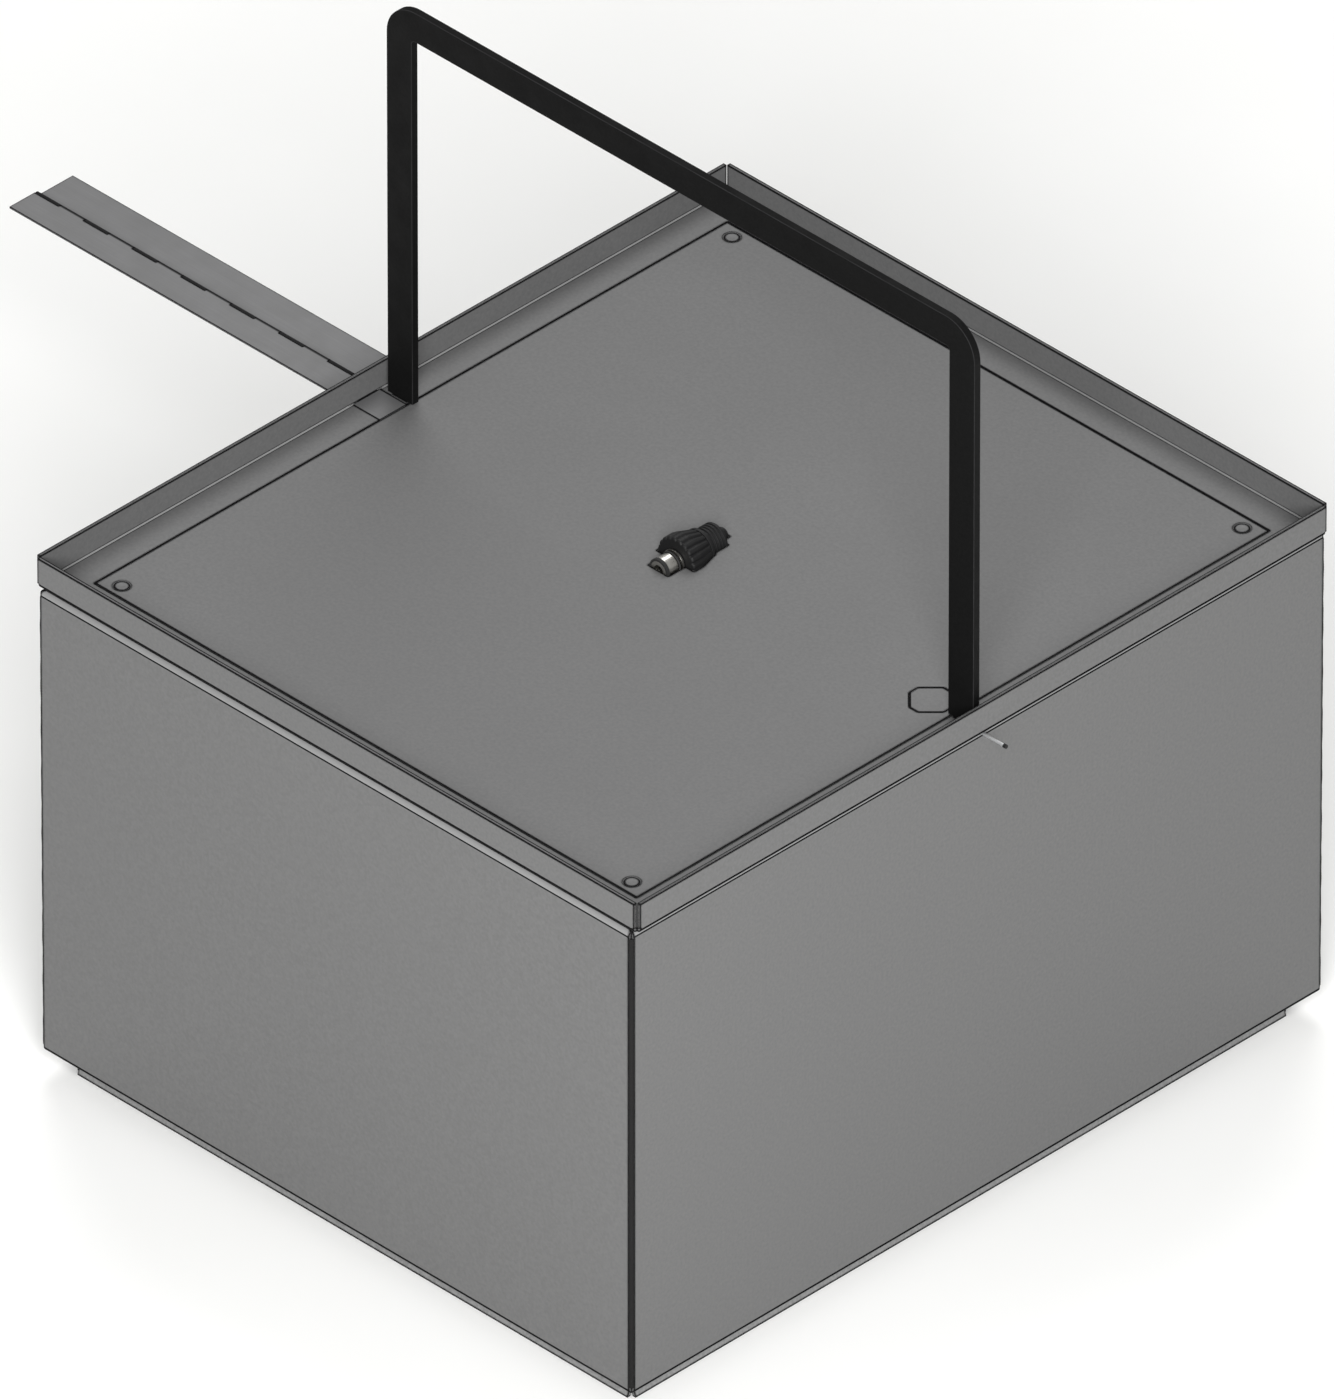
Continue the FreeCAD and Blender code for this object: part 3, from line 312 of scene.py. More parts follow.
def sintered_bronze():
    """Bronze balls sintered into a porous sleeve: brown-gold, and rough from the round grains.

    The balls are really 0.3 mm across and are drawn at 0.8 mm, so that they show.
    """
    material, tree, place = new_material("sintered_bronze")
    grains = add_node(tree, "TexVoronoi", {"Vector": place, "Scale": 1 / (0.8 * MM)})
    colour = add_node(tree, "Mix", {"Factor": grains, "A": "#b58a50", "B": "#3d2b12"}, data_type="RGBA")
    bump = add_node(tree, "Bump", {"Height": grains, "Distance": 0.15 * MM}, invert=True)
    shader = add_node(tree, "BsdfPrincipled", {
        "Base Color": colour, "Metallic": 1.0, "Roughness": 0.5, "Normal": bump,
    })
    add_node(tree, "OutputMaterial", {"Surface": shader})
    return material


def galvanised_sheet():
    """Hot-dip galvanised sheet: pale zinc with flat crystals of slightly different greys."""
    material, tree, place = new_material("hot_dip_galvanised_sheet")
    spangle = add_node(tree, "TexVoronoi", {"Vector": place, "Scale": 1 / (9 * MM)}).outputs["Color"]
    tone = add_node(tree, "RGBToBW", {"Color": spangle})
    colour = add_node(tree, "Mix", {"Factor": tone, "A": "#8f9294", "B": "#b9bcbe"}, data_type="RGBA")
    gloss = add_node(tree, "MapRange", {"Value": tone, "To Min": 0.35, "To Max": 0.55})
    shader = add_node(tree, "BsdfPrincipled", {"Base Color": colour, "Metallic": 1.0, "Roughness": gloss})
    add_node(tree, "OutputMaterial", {"Surface": shader})
    return material


def zinc_plated_fastener():
    """Rolled or cut fastener, zinc plated and passivated: clear metal with a faint blue and straw cast."""
    material, tree, place = new_material("zinc_plated_fastener")
    film = add_node(tree, "TexNoise", {"Vector": place, "Scale": 1 / (6 * MM), "Detail": 3.0})
    plate = add_node(tree, "Mix", {"Factor": film, "A": "#99a5b4", "B": "#c9c2a4"}, data_type="RGBA")
    corner, rounded = worn_corners(tree, 0.5 * MM)
    # Darker at the corners and creases: rubbed on the outer edges, painted shade in the inner creases.
    worn = add_node(tree, "Math", {0: corner, 1: 0.5}, operation="MULTIPLY")
    colour = add_node(tree, "Mix", {"Factor": worn, "A": plate, "B": "#4c4d4e"}, data_type="RGBA")
    gloss = add_node(tree, "MapRange", {"Value": film, "To Min": 0.28, "To Max": 0.48})
    bump = add_node(tree, "Bump", {"Height": film, "Distance": 0.02 * MM, "Normal": rounded})
    shader = add_node(tree, "BsdfPrincipled", {
        "Base Color": colour, "Metallic": 1.0, "Roughness": gloss, "Normal": bump,
    })
    add_node(tree, "OutputMaterial", {"Surface": shader})
    return material


def faced_steel():
    """Mild steel cut bare on a lathe after painting, under a thin uneven film of oil."""
    material, tree, place = new_material("faced_mild_steel")
    film = add_node(tree, "TexNoise", {"Vector": place, "Scale": 1 / (7 * MM), "Detail": 3.0})
    colour = add_node(tree, "Mix", {"Factor": film, "A": "#7b7a76", "B": "#bdbebe"}, data_type="RGBA")
    gloss = add_node(tree, "MapRange", {"Value": film, "To Min": 0.2, "To Max": 0.45})
    shader = add_node(tree, "BsdfPrincipled", {"Base Color": colour, "Metallic": 1.0, "Roughness": gloss})
    add_node(tree, "OutputMaterial", {"Surface": shader})
    return material


def oiled_mill_steel():
    """Unpainted hot-rolled steel inside the tank: blue-grey mill scale, wet with oil."""
    material, tree, place = new_material("oiled_mill_scale")
    scale = add_node(tree, "TexNoise", {"Vector": place, "Scale": 1 / (22 * MM), "Detail": 4.0})
    colour = add_node(tree, "Mix", {"Factor": scale, "A": "#33373c", "B": "#625d58"}, data_type="RGBA")
    gloss = add_node(tree, "MapRange", {"Value": scale, "To Min": 0.18, "To Max": 0.45})
    bump = add_node(tree, "Bump", {"Height": scale, "Distance": 0.05 * MM})
    shader = add_node(tree, "BsdfPrincipled", {
        "Base Color": colour, "Metallic": 0.5, "Roughness": gloss, "Normal": bump,
    })
    add_node(tree, "OutputMaterial", {"Surface": shader})
    return material


def woven_steel_cloth():
    """Stainless wire cloth folded into pleats. The wires are 0.15 mm apart and are drawn 1 mm apart."""
    material, tree, place = new_material("woven_stainless_cloth")
    wire_scale = math.pi / (10 * 1 * MM)
    warp = add_node(tree, "TexWave", {"Vector": place, "Scale": wire_scale}, bands_direction="X")
    weft = add_node(tree, "TexWave", {"Vector": place, "Scale": wire_scale}, bands_direction="Y")
    weave = add_node(tree, "Math", {0: warp, 1: weft}, operation="MULTIPLY")
    colour = add_node(tree, "Mix", {"Factor": weave, "A": "#3a3b3c", "B": "#b9babb"}, data_type="RGBA")
    bump = add_node(tree, "Bump", {"Height": weave, "Distance": 0.1 * MM})
    shader = add_node(tree, "BsdfPrincipled", {
        "Base Color": colour, "Metallic": 1.0, "Roughness": 0.4, "Normal": bump,
    })
    add_node(tree, "OutputMaterial", {"Surface": shader})
    return material


def ferrite_magnet():
    """Sintered ferrite rod: dark grey, dull and ground smooth."""
    material, tree, place = new_material("sintered_ferrite")
    grit = add_node(tree, "TexNoise", {"Vector": place, "Scale": 1 / (1 * MM), "Detail": 3.0})
    colour = add_node(tree, "Mix", {"Factor": grit, "A": "#262729", "B": "#4b4c4e"}, data_type="RGBA")
    gloss = add_node(tree, "MapRange", {"Value": grit, "To Min": 0.45, "To Max": 0.7})
    shader = add_node(tree, "BsdfPrincipled", {"Base Color": colour, "Roughness": gloss, "IOR": 1.6})
    add_node(tree, "OutputMaterial", {"Surface": shader})
    return material


def annealed_copper():
    """Soft copper sealing ring: orange-brown, tarnished in patches."""
    material, tree, place = new_material("annealed_copper")
    tarnish = add_node(tree, "TexNoise", {"Vector": place, "Scale": 1 / (4 * MM), "Detail": 3.0})
    colour = add_node(tree, "Mix", {"Factor": tarnish, "A": "#74402c", "B": "#dd8f68"}, data_type="RGBA")
    gloss = add_node(tree, "MapRange", {"Value": tarnish, "To Min": 0.25, "To Max": 0.55})
    shader = add_node(tree, "BsdfPrincipled", {"Base Color": colour, "Metallic": 1.0, "Roughness": gloss})
    add_node(tree, "OutputMaterial", {"Surface": shader})
    return material


def cast_acrylic():
    """Clear cast acrylic tube, polished, with light scuffs round it from wiping."""
    material, tree, place = new_material("clear_cast_acrylic")
    wiped = add_node(tree, "Mapping", {"Vector": place, "Scale": (1 / (6 * MM), 1 / (6 * MM), 1 / (1 * MM))})
    scuff = add_node(tree, "TexNoise", {"Vector": wiped, "Scale": 1.0, "Detail": 3.0})
    gloss = add_node(tree, "MapRange", {"Value": scuff, "From Min": 0.5, "From Max": 0.8,
                                        "To Min": 0.02, "To Max": 0.18})
    shader = add_node(tree, "BsdfPrincipled", {
        "Base Color": "#f4f7f6", "Roughness": gloss, "IOR": 1.49, "Transmission Weight": 1.0,
    })
    add_node(tree, "OutputMaterial", {"Surface": shader})
    return material


def mineral_oil():
    """Hydraulic mineral oil: clear amber, and smooth where it meets the tube."""
    material, tree, place = new_material("amber_mineral_oil")
    swirl = add_node(tree, "TexNoise", {"Vector": place, "Scale": 1 / (30 * MM)})
    colour = add_node(tree, "Mix", {"Factor": swirl, "A": "#c9851f", "B": "#e6b052"}, data_type="RGBA")
    shader = add_node(tree, "BsdfPrincipled", {
        "Base Color": colour, "IOR": 1.47, "Transmission Weight": 1.0, "Roughness": 0.02,
    })
    add_node(tree, "OutputMaterial", {"Surface": shader})
    return material


def stoved_enamel(name, dark, light):
    """Stoved enamel: glossy, opaque and very slightly uneven in depth."""
    material, tree, place = new_material(name)
    film = add_node(tree, "TexNoise", {"Vector": place, "Scale": 1 / (6 * MM), "Detail": 2.0})
    colour = add_node(tree, "Mix", {"Factor": film, "A": dark, "B": light}, data_type="RGBA")
    gloss = add_node(tree, "MapRange", {"Value": film, "To Min": 0.15, "To Max": 0.35})
    shader = add_node(tree, "BsdfPrincipled", {"Base Color": colour, "Roughness": gloss, "IOR": 1.52})
    add_node(tree, "OutputMaterial", {"Surface": shader})
    return material


def pale_floor():
    """Matt white floor paint with barely visible unevenness."""
    material, tree, place = new_material("matt_white_floor")
    film = add_node(tree, "TexNoise", {"Vector": place, "Scale": 1 / (300 * MM), "Detail": 3.0})
    colour = add_node(tree, "Mix", {"Factor": film, "A": "#f3f3f1", "B": "#f9f9f8"}, data_type="RGBA")
    shader = add_node(tree, "BsdfPrincipled", {"Base Color": colour, "Roughness": 0.9, "IOR": 1.45})
    add_node(tree, "OutputMaterial", {"Surface": shader})
    return material


sheet_coat = grey_powder_coat("grey_powder_coated_folded_sheet", "#505050", "#5b5b5b", True)
# The skirts get a paler grey than the tank, as painted light where the tank's overhang shades them.
skirt_coat = grey_powder_coat("grey_powder_coated_skirt_painted_light", "#969696", "#a0a0a0", False)
plain_coat = grey_powder_coat("grey_powder_coated_flat_and_turned_steel", "#505050", "#5b5b5b", False)
weld_scale = scaled_weld_bead()
bar_coat = black_powder_coat()
hinge_strip = phosphated_hinge_strip()
drawn_steel = bright_drawn_steel()
nickel = nickel_plated_brass()
nylon = glass_filled_nylon()
rubber = nitrile_rubber()
zinc = zinc_plated_fastener()
bare_face = faced_steel()
mill_steel = oiled_mill_steel()
galvanised = galvanised_sheet()
acrylic = cast_acrylic()
oil = mineral_oil()
white_enamel = stoved_enamel("white_stoved_enamel", "#dddcd6", "#f4f4f0")
red_enamel = stoved_enamel("red_stoved_enamel", "#8c1813", "#bd3128")

finish_of_nodes = [
    (sheet_coat, ["front_wall", "back_wall", "left_wall", "right_wall", "drip_tray"]),
    (skirt_coat, ["skirt_front", "skirt_back", "skirt_left", "skirt_right"]),
    (plain_coat, ["cover_plate", "bottom_plate", "base_channel", "cover_screws", "socket_caps", "probe_plug",
                  "drain_boss"]),
    (weld_scale, ["corner_welds"]),
    (bar_coat, ["lifting_hoop"]),
    (hinge_strip, ["hinge_fixed_leaf", "hinge_moving_leaf"]),
    (drawn_steel, ["hinge_pin", "hoop_dowel", "lock_pin"]),
    (nickel, ["breather_stub", "breather_washer"]),
    (nylon, ["breather_knob", "breather_cap", "breather_tail", "gauge_body", "lock_pin_cap"]),
    (rubber, ["breather_end_ring", "breather_seal", "cover_gasket", "gauge_seals"]),
    (sintered_bronze(), ["breather_element"]),
    (galvanised, ["breather_well", "breather_saddles", "breather_neck"]),
    (zinc, ["weld_nuts", "probe_nut", "gauge_bolts", "gauge_nuts", "drain_plug"]),
    (bare_face, ["suction_boss", "return_boss"]),
    (mill_steel, ["baffle_plate", "suction_pipe", "return_pipe"]),
    (woven_steel_cloth(), ["suction_strainer"]),
    (ferrite_magnet(), ["probe_magnet"]),
    (annealed_copper(), ["drain_washer"]),
    (acrylic, ["gauge_tube"]),
]
for material, names in finish_of_nodes:
    for name in names:
        mesh = nodes[name].data
        mesh.materials.clear()
        mesh.materials.append(material)


# Meshes

def grid_faces(rows, columns, first=0, closed_rows=False):
    """Faces between rows of points, each row closed on itself."""
    faces = []
    for row in range(rows if closed_rows else rows - 1):
        here = first + row * columns
        above = first + ((row + 1) % rows) * columns
        for column in range(columns):
            beside = (column + 1) % columns
            faces.append((here + column, here + beside, above + beside, above + column))
    return faces


def make_piece(name, points, faces, materials, body, stands_for=(), face_materials=None):
    """One smooth-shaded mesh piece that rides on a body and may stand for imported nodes."""
    mesh = bpy.data.meshes.new(name)
    mesh.from_pydata([tuple(point) for point in points], [], faces)
    for material in materials:
        mesh.materials.append(material)
    for face, index in zip(mesh.polygons, face_materials or []):
        face.material_index = index
    mesh.shade_smooth()
    mesh.set_sharp_from_angle(angle=math.radians(40))
    piece = bpy.data.objects.new(name, mesh)
    scene.collection.objects.link(piece)
    piece.modifiers.new("even_shading", "WEIGHTED_NORMAL").keep_sharp = True
    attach(piece, body)
    if stands_for:
        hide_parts(*stands_for)
    return piece


def eased(outline, radius, steps=3):
    """Closed outline with each corner rounded to the radius, or to what its sides leave room for."""
    most_of_side = 0.45
    points = [Vector(point) for point in outline]
    rounded = []
    for index, here in enumerate(points):
        back = points[index - 1] - here
        ahead = points[(index + 1) % len(points)] - here
        reach = min(radius, back.length * most_of_side, ahead.length * most_of_side)
        start = here + back.normalized() * reach
        end = here + ahead.normalized() * reach
        for step in range(steps + 1):
            share = step / steps
            rounded.append(start.lerp(here, share).lerp(here.lerp(end, share), share))
    return rounded


def turned(centre, profile, steps, radius_change=None):
    """Points and faces of a closed section of (distance along Y, radius), turned about a line along Y."""
    points = []
    for along, radius in profile:
        for step in range(steps):
            angle = 2 * math.pi * step / steps
            changed = radius + (radius_change(along, radius, angle) if radius_change else 0.0)
            points.append(centre + Vector((changed * math.cos(angle), along, changed * math.sin(angle))))
    return points, grid_faces(len(profile), steps, closed_rows=True)


# Weld beads

station_gap = 0.6 * MM


def bead_mesh(stations, size, closed):
    """Rippled quarter-round bead that swells and thins a little, as a welder's hand wanders.

    Each station is (root, one leg's direction, the other's, distance from the bead's start).
    """
    ripple_pitch = 2.4 * MM
    ripple_depth = 0.12
    arc_steps = 6
    points = []
    for root, first, second, distance in stations:
        points.append(root)
        for step in range(arc_steps + 1):
            angle = math.pi / 2 * step / arc_steps
            bow = 0.7 * ripple_pitch * math.sin(2 * angle)
            phase = 2 * math.pi * (distance + bow) / ripple_pitch
            slow_drift = 0.04 * math.sin(distance / (7 * MM))
            quick_drift = 0.03 * math.sin(distance / (2.9 * MM) + 1)
            drift = (slow_drift + quick_drift) * math.sin(2 * angle)
            swell = 1 - ripple_depth * (0.5 + 0.5 * math.cos(phase)) + drift
            points.append(root + (first * math.cos(angle) + second * math.sin(angle)) * (size * swell))
    ring = arc_steps + 2
    faces = grid_faces(len(stations), ring, closed_rows=closed)
    if not closed:
        last = (len(stations) - 1) * ring
        faces.append(tuple(reversed(range(ring))))
        faces.append(tuple(range(last, last + ring)))
    return points, faces


def straight_stations(start, direction, length, first, second):
    """Stations of a straight bead, evenly spaced from its start."""
    count = round(length / station_gap)
    return [
        (start + direction * (length * index / count), first, second, length * index / count)
        for index in range(count + 1)
    ]


def make_corner_welds():
    """Each bead fills the open notch where two walls meet, from the bottom bend to the top one."""
    low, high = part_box("corner_welds")
    sheet = 3 * MM
    bead_size = 2.7 * MM
    for side_x, across in ((-1, "left"), (1, "right")):
        for side_y, along in ((-1, "front"), (1, "back")):
            corner_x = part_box(f"{across}_wall")[side_x > 0].x - side_x * sheet
            corner_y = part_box(f"{along}_wall")[side_y > 0].y - side_y * sheet
            start = Vector((corner_x, corner_y, low.z))
            legs = (Vector((side_x, 0, 0)), Vector((0, side_y, 0)))
            if side_x * side_y < 0:
                legs = legs[::-1]
            stations = straight_stations(start, Vector((0, 0, 1)), high.z - low.z, *legs)
            points, faces = bead_mesh(stations, bead_size, False)
            name = f"corner_weld_{along}_{across}"
            make_piece(name, points, faces, [weld_scale], "tank", ["corner_welds"])


def make_boss_weld(boss, leg):
    """Fillet weld round a boss, against the outside of the back wall."""
    low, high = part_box(boss)
    wall_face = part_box("back_wall")[1].y
    centre = Vector(((low.x + high.x) / 2, wall_face, (low.z + high.z) / 2))
    radius = (high.x - low.x) / 2
    count = round(2 * math.pi * radius / station_gap)
    stations = []
    for index in range(count):
        angle = 2 * math.pi * index / count
        outward = Vector((math.cos(angle), 0, math.sin(angle)))
        stations.append((centre + outward * radius, Vector((0, 1, 0)), outward, radius * angle))
    points, faces = bead_mesh(stations, leg, True)
    make_piece(f"{boss}_weld", points, faces, [weld_scale], "tank")


def make_skirt_welds():
    """Short stitches that hold the skirt's flange to the tank, in the corner above each web."""
    stitch = 28 * MM
    leg = 3 * MM
    stitch_places = (-0.75, -0.25, 0.25, 0.75)
    skirt_slope = math.radians(15)
    down = Vector((0, 0, -1))
    sides = {"front": (0, -1, 0), "right": (1, 0, 0), "back": (0, 1, 0), "left": (-1, 0, 0)}
    for name, facing in sides.items():
        low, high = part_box(f"skirt_{name}")
        outward = Vector(facing)
        along = Vector((-outward.y, outward.x, 0))
        middle = (low + high) / 2
        lean = (high.z - low.z) * math.tan(skirt_slope)
        reach = max(abs((corner - middle).dot(outward)) for corner in (low, high))
        half = max(abs((corner - middle).dot(along)) for corner in (low, high))
        root = middle + outward * (reach - lean)
        root.z = high.z
        points = []
        faces = []
        for share in stitch_places:
            start = root + along * (share * half - stitch / 2)
            stations = straight_stations(start, along, stitch, outward, down)
            more, more_faces = bead_mesh(stations, leg, False)
            faces += [tuple(index + len(points) for index in face) for face in more_faces]
            points += more
        make_piece(f"skirt_{name}_welds", points, faces, [weld_scale], "tank")


# Fasteners and ports

def make_cover_screws():
    """Flush capped countersunk heads with a broken edge, in sinks that show as a dark ring round each."""
    low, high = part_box("cover_screws")
    top = high.z
    sink_radius = 7 * MM
    ring_gap = 1 * MM
    head_radius = sink_radius - ring_gap
    shank_radius = 4 * MM
    cap_radius = 2.6 * MM
    cap_depth = 0.15 * MM
    broken_edge = 0.35 * MM
    point_chamfer = 0.8 * MM
    steps = 64
    profile = [
        (0.0, top - cap_depth),
        (cap_radius, top - cap_depth),
        (cap_radius + 0.3 * MM, top - 0.05 * MM),
        (head_radius - 0.4 * MM, top),
        (head_radius - 0.1 * MM, top - 0.08 * MM),
        (head_radius, top - broken_edge),
        (shank_radius, top - (head_radius - shank_radius) - broken_edge),
        (shank_radius, low.z + point_chamfer),
        (shank_radius - point_chamfer, low.z),
        (0.0, low.z),
    ]
    for side_x, across in ((-1, "left"), (1, "right")):
        for side_y, along in ((-1, "front"), (1, "back")):
            x = (high if side_x > 0 else low).x - side_x * sink_radius
            y = (high if side_y > 0 else low).y - side_y * sink_radius
            points = [Vector((x, y, profile[0][1]))]
            for radius, level in profile[1:-1]:
                for step in range(steps):
                    angle = 2 * math.pi * step / steps
                    points.append(Vector((x + radius * math.cos(angle), y + radius * math.sin(angle), level)))
            points.append(Vector((x, y, profile[-1][1])))
            rings = len(profile) - 2
            faces = [tuple(reversed(face)) for face in grid_faces(rings, steps, first=1)]
            last = len(points) - 1
            for step in range(steps):
                beside = (step + 1) % steps
                faces.append((0, 1 + step, 1 + beside))
                faces.append((last, last - steps + beside, last - steps + step))
            name = f"cover_screw_{along}_{across}"
            stands_for = ["cover_screws", "socket_caps"]
            make_piece(name, points, faces, [plain_coat], "tank", stands_for)


def make_threaded_boss(boss, mount, pitch):
    """Boss with a painted outside, a bare sealing face and a screw thread down its bore."""
    low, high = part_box(boss)
    centre = Vector(((low.x + high.x) / 2, 0, (low.z + high.z) / 2))
    outer = (high.x - low.x) / 2
    bore = mount_radius(mount)
    thread_depth = 0.6 * pitch
    chamfer = 1.2 * MM
    broken_edge = 0.3 * MM
    mouth = 0.8 * MM
    rows_per_turn = 8
    steps = 96
    outside = [
        (low.y, bore + thread_depth),
        (low.y, outer),
        (high.y - chamfer, outer),
        (high.y - broken_edge, outer - chamfer),
    ]
    face = [(high.y, outer - chamfer - broken_edge), (high.y, bore + thread_depth + mouth)]
    thread_end = high.y - chamfer
    rows = round((thread_end - low.y) / (pitch / rows_per_turn))
    thread = [(thread_end - (thread_end - low.y) * row / rows, bore) for row in range(rows)]
    profile = outside + face + thread

    def cut_thread(along, radius, angle):
        """How much deeper than its crest the thread is, at a place on the bore."""
        if radius > bore:
            return 0.0
        turn = (along / pitch + angle / (2 * math.pi)) % 1.0
        return thread_depth * (1 - abs(2 * turn - 1))

    points, faces = turned(centre, profile, steps, cut_thread)
    painted_rows = len(outside) - 1
    indexes = [0 if number // steps < painted_rows else 1 for number in range(len(faces))]
    finishes = [plain_coat, bare_face]
    make_piece(boss + "_turned", points, faces, finishes, "tank", [boss], indexes)


def mount_radius(name):
    """Bore radius of a port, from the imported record."""
    for mount in record["mounts"]:
        if mount["name"] == name:
            return mount["dims"]["r_mm"] * MM
    raise ValueError(name)


# Breather

breather_line = Vector((0, 0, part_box("cover_plate")[1].z))


def make_breather_knob():
    """Collar with flutes all round, straight and then tapering, hollow behind its face."""
    low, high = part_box("breather_knob")
    outer = high.x
    end_radius = 14.6 * MM
    taper_start = low.y + 9.5 * MM
    hollow_radius = 11 * MM
    core_hole = 5.3 * MM
    face = 3 * MM
    edge = 1.2 * MM
    flutes = 20
    flute_depth = 1.3 * MM
    rows = 10
    profile = [(low.y, core_hole), (low.y, outer - edge), (low.y + edge, outer)]
    for row in range(rows + 1):
        share = row / rows
        along = taper_start + (high.y - taper_start) * share
        profile.append((along, outer + (end_radius - outer) * share))
    profile += [(high.y, hollow_radius), (low.y + face, hollow_radius), (low.y + face, core_hole)]

    def cut_flutes(along, radius, angle):
        """How far the flutes cut into the outside. The face, the hole and the hollow have none."""
        if radius < end_radius - 0.1 * MM:
            return 0.0
        wave = 0.5 + 0.5 * math.cos(flutes * angle)
        return -flute_depth * wave ** 3

    points, faces = turned(breather_line, eased(profile, 0.5 * MM, 2), 12 * flutes, cut_flutes)
    make_piece("breather_knob_fluted", points, faces, [nylon], "knob", ["breather_knob"])


def make_breather_cap():
    """Cap with a shoulder and four grooves round it, hollow under its end wall."""
    low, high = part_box("breather_cap")
    shoulder_radius = high.x
    shoulder_end = low.y + 2.5 * MM
    body_radius = 12.6 * MM
    hollow_radius = 5 * MM
    vent_radius = 1.6 * MM
    end_wall = 3 * MM
    grooves = 4
    groove_depth = 1.1 * MM
    groove_half_width = 0.8 * MM
    groove_half_floor = 0.5 * MM
    groove_pitch = (high.y - shoulder_end) / (grooves + 1)
    profile = [
        (low.y, hollow_radius),
        (low.y, shoulder_radius),
        (shoulder_end, shoulder_radius),
        (shoulder_end, body_radius),
    ]
    for groove in range(grooves):
        middle = shoulder_end + groove_pitch * (groove + 1)
        profile += [
            (middle - groove_half_width, body_radius),
            (middle - groove_half_floor, body_radius - groove_depth),
            (middle + groove_half_floor, body_radius - groove_depth),
            (middle + groove_half_width, body_radius),
        ]
    profile += [
        (high.y, body_radius),
        (high.y, vent_radius),
        (high.y - end_wall, vent_radius),
        (high.y - end_wall, hollow_radius),
    ]
    points, faces = turned(breather_line, eased(profile, 0.35 * MM, 2), 96)
    make_piece("breather_cap_ribbed", points, faces, [nylon], "tank", ["breather_cap"])


def make_breather_tail():
    """Narrow stepped end with one groove round it and the vent hole through it."""
    low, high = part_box("breather_tail")
    tail_radius = high.x
    vent_radius = 1.6 * MM
    groove_depth = 0.9 * MM
    groove_middle = low.y + 3.5 * MM
    groove_half_width = 1.3 * MM
    groove_half_floor = 0.9 * MM
    taper_length = 2 * MM
    taper_depth = 1.2 * MM
    profile = [
        (low.y, vent_radius),
        (low.y, tail_radius),
        (groove_middle - groove_half_width, tail_radius),
        (groove_middle - groove_half_floor, tail_radius - groove_depth),
        (groove_middle + groove_half_floor, tail_radius - groove_depth),
        (groove_middle + groove_half_width, tail_radius),
        (high.y - taper_length, tail_radius),
        (high.y, tail_radius - taper_depth),
        (high.y, vent_radius),
    ]
    points, faces = turned(breather_line, eased(profile, 0.3 * MM, 2), 72)
    make_piece("breather_tail_stepped", points, faces, [nylon], "tank", ["breather_tail"])


# Level gauge

def upright_bar(x, half_width, bottom, top):
    """Corners of an upright rectangle in X and Z, in order round it."""
    left = x - half_width
    right = x + half_width
    return [(left, bottom, 0), (right, bottom, 0), (right, top, 0), (left, top, 0)]


def cut_plate(outline, back, front):
    """Points and faces of a flat piece cut to an outline of X and Z, between two levels of Y."""
    count = len(outline)
    points = [(x, level, z) for level in (front, back) for x, z, _ in outline]
    faces = grid_faces(2, count) + [tuple(reversed(range(count, 2 * count))), tuple(range(count))]
    return points, faces


def make_gauge_oil():
    """Oil part way up the tube, against its wall."""
    low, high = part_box("gauge_tube")
    centre = (low + high) / 2
    tube_wall = 2 * MM
    bore = (high.x - low.x) / 2 - tube_wall
    edge = 0.6 * MM
    filled_share = 0.62
    oil_top = low.z + filled_share * (high.z - low.z)
    steps = 48
    points = []
    for level, radius in ((low.z, bore - edge), (low.z + edge, bore), (oil_top, bore)):
        for step in range(steps):
            angle = 2 * math.pi * step / steps
            x = centre.x + radius * math.cos(angle)
            points.append(Vector((x, centre.y + radius * math.sin(angle), level)))
    faces = grid_faces(3, steps) + [tuple(reversed(range(steps))), tuple(range(2 * steps, 3 * steps))]
    make_piece("gauge_oil_column", points, faces, [oil], "tank")


def make_gauge_strip():
    """White strip that stands in the tube, with two red level marks on its face."""
    low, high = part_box("gauge_tube")
    centre = (low + high) / 2
    strip_back = centre.y - 2.4 * MM
    strip_front = centre.y - 1.9 * MM
    half_width = 3.9 * MM
    end_gap = 1.5 * MM
    mark_edge = 0.4 * MM
    mark_half_height = 1.2 * MM
    mark_thickness = 0.15 * MM
    marked_levels = (0.2, 0.8)
    strip = upright_bar(centre.x, half_width, low.z + end_gap, high.z - end_gap)
    points, faces = cut_plate(eased(strip, 1.5 * MM), strip_back, strip_front)
    indexes = [0] * len(faces)
    for share in marked_levels:
        level = low.z + share * (high.z - low.z)
        bottom = level - mark_half_height
        top = level + mark_half_height
        mark = upright_bar(centre.x, half_width - mark_edge, bottom, top)
        more, more_faces = cut_plate(eased(mark, mark_edge), strip_front, strip_front + mark_thickness)
        faces += [tuple(index + len(points) for index in face) for face in more_faces]
        points += more
        indexes += [1] * len(more_faces)
    finishes = [white_enamel, red_enamel]
    make_piece("gauge_level_strip", points, faces, finishes, "tank", (), indexes)


make_corner_welds()
for boss, leg in (("suction_boss", 4 * MM), ("return_boss", 4 * MM), ("drain_boss", 3.5 * MM)):
    make_boss_weld(boss, leg)
make_skirt_welds()
make_cover_screws()
pipe_pitch = 2.31 * MM
make_threaded_boss("suction_boss", "suction_port", pipe_pitch)
make_threaded_boss("return_boss", "return_port", pipe_pitch)
make_breather_knob()
make_breather_cap()
make_breather_tail()
make_gauge_oil()
make_gauge_strip()


# Floor, light and camera

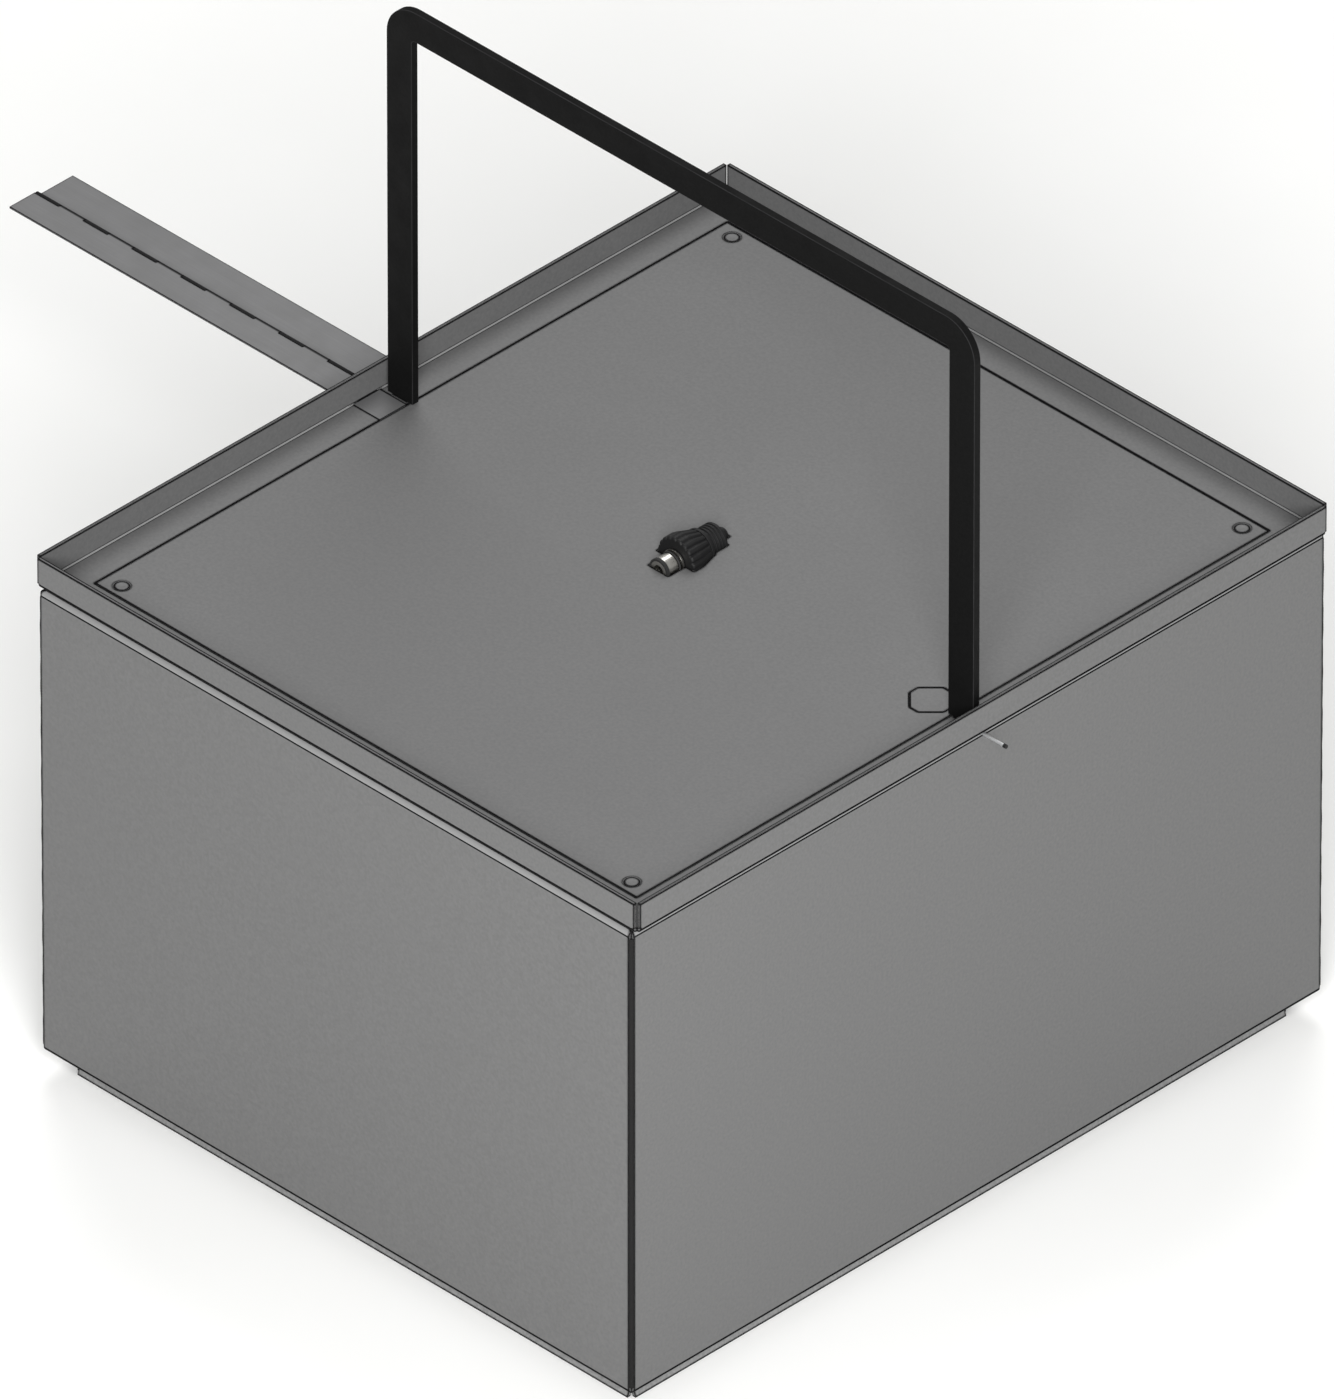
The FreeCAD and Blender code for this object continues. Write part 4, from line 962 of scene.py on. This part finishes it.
def make_floor():
    """Plain floor, wide enough to fill every view."""
    half = 10.0
    corners = [(-half, -half, 0), (half, -half, 0), (half, half, 0), (-half, half, 0)]
    mesh = bpy.data.meshes.new("floor")
    mesh.from_pydata(corners, [], [(0, 1, 2, 3)])
    mesh.materials.append(pale_floor())
    floor = bpy.data.objects.new("floor", mesh)
    scene.collection.objects.link(floor)


def direction_to(azimuth, elevation):
    """Unit vector towards that direction. Azimuth 0 is -Y and 90 is +X."""
    a = math.radians(azimuth)
    e = math.radians(elevation)
    return Vector((math.sin(a) * math.cos(e), -math.cos(a) * math.cos(e), math.sin(e)))


def add_softbox(name, aim, azimuth, elevation, size, power):
    """Round diffused lamp that faces the object from 5 m away."""
    distance = 5.0
    light = bpy.data.lights.new(name, "AREA")
    light.shape = "DISK"
    light.size = size
    light.energy = power
    lamp = bpy.data.objects.new(name, light)
    scene.collection.objects.link(lamp)
    away = direction_to(azimuth, elevation)
    lamp.location = aim + away * distance
    lamp.rotation_euler = (-away).to_track_quat("-Z", "Y").to_euler()
    lamp.visible_camera = False


def add_camera(aim, azimuth, elevation, view_height):
    """Long lens from far off, so that parallel edges stay parallel as on a drawing."""
    camera = bpy.data.cameras.new("camera")
    camera.lens = 1500
    camera.sensor_width = 36
    camera.clip_end = 200
    mount = bpy.data.objects.new("camera", camera)
    scene.collection.objects.link(mount)
    away = direction_to(azimuth, elevation)
    mount.location = aim + away * (view_height * camera.lens / camera.sensor_width)
    mount.rotation_euler = (-away).to_track_quat("-Z", "Y").to_euler()
    scene.camera = mount


make_floor()

# The middle of the view and its height leave a narrow margin round the object on every side.
aim = Vector((-0.0075, -0.0075, 0.3023))
view_height = 1.0012
add_softbox("front_softbox", aim, azimuth=45, elevation=30, size=2.4, power=310)
add_softbox("back_softbox", aim, azimuth=225, elevation=55, size=3.0, power=100)
world = bpy.data.worlds.new("studio")
scene.world = world
world.use_nodes = True
world.node_tree.nodes["Background"].inputs["Color"].default_value = linear("#ffffff")
world.node_tree.nodes["Background"].inputs["Strength"].default_value = 0.45
scene.view_settings.view_transform = "Standard"
isometric_elevation = math.degrees(math.asin(1 / math.sqrt(3)))
add_camera(aim, 45, isometric_elevation, view_height)
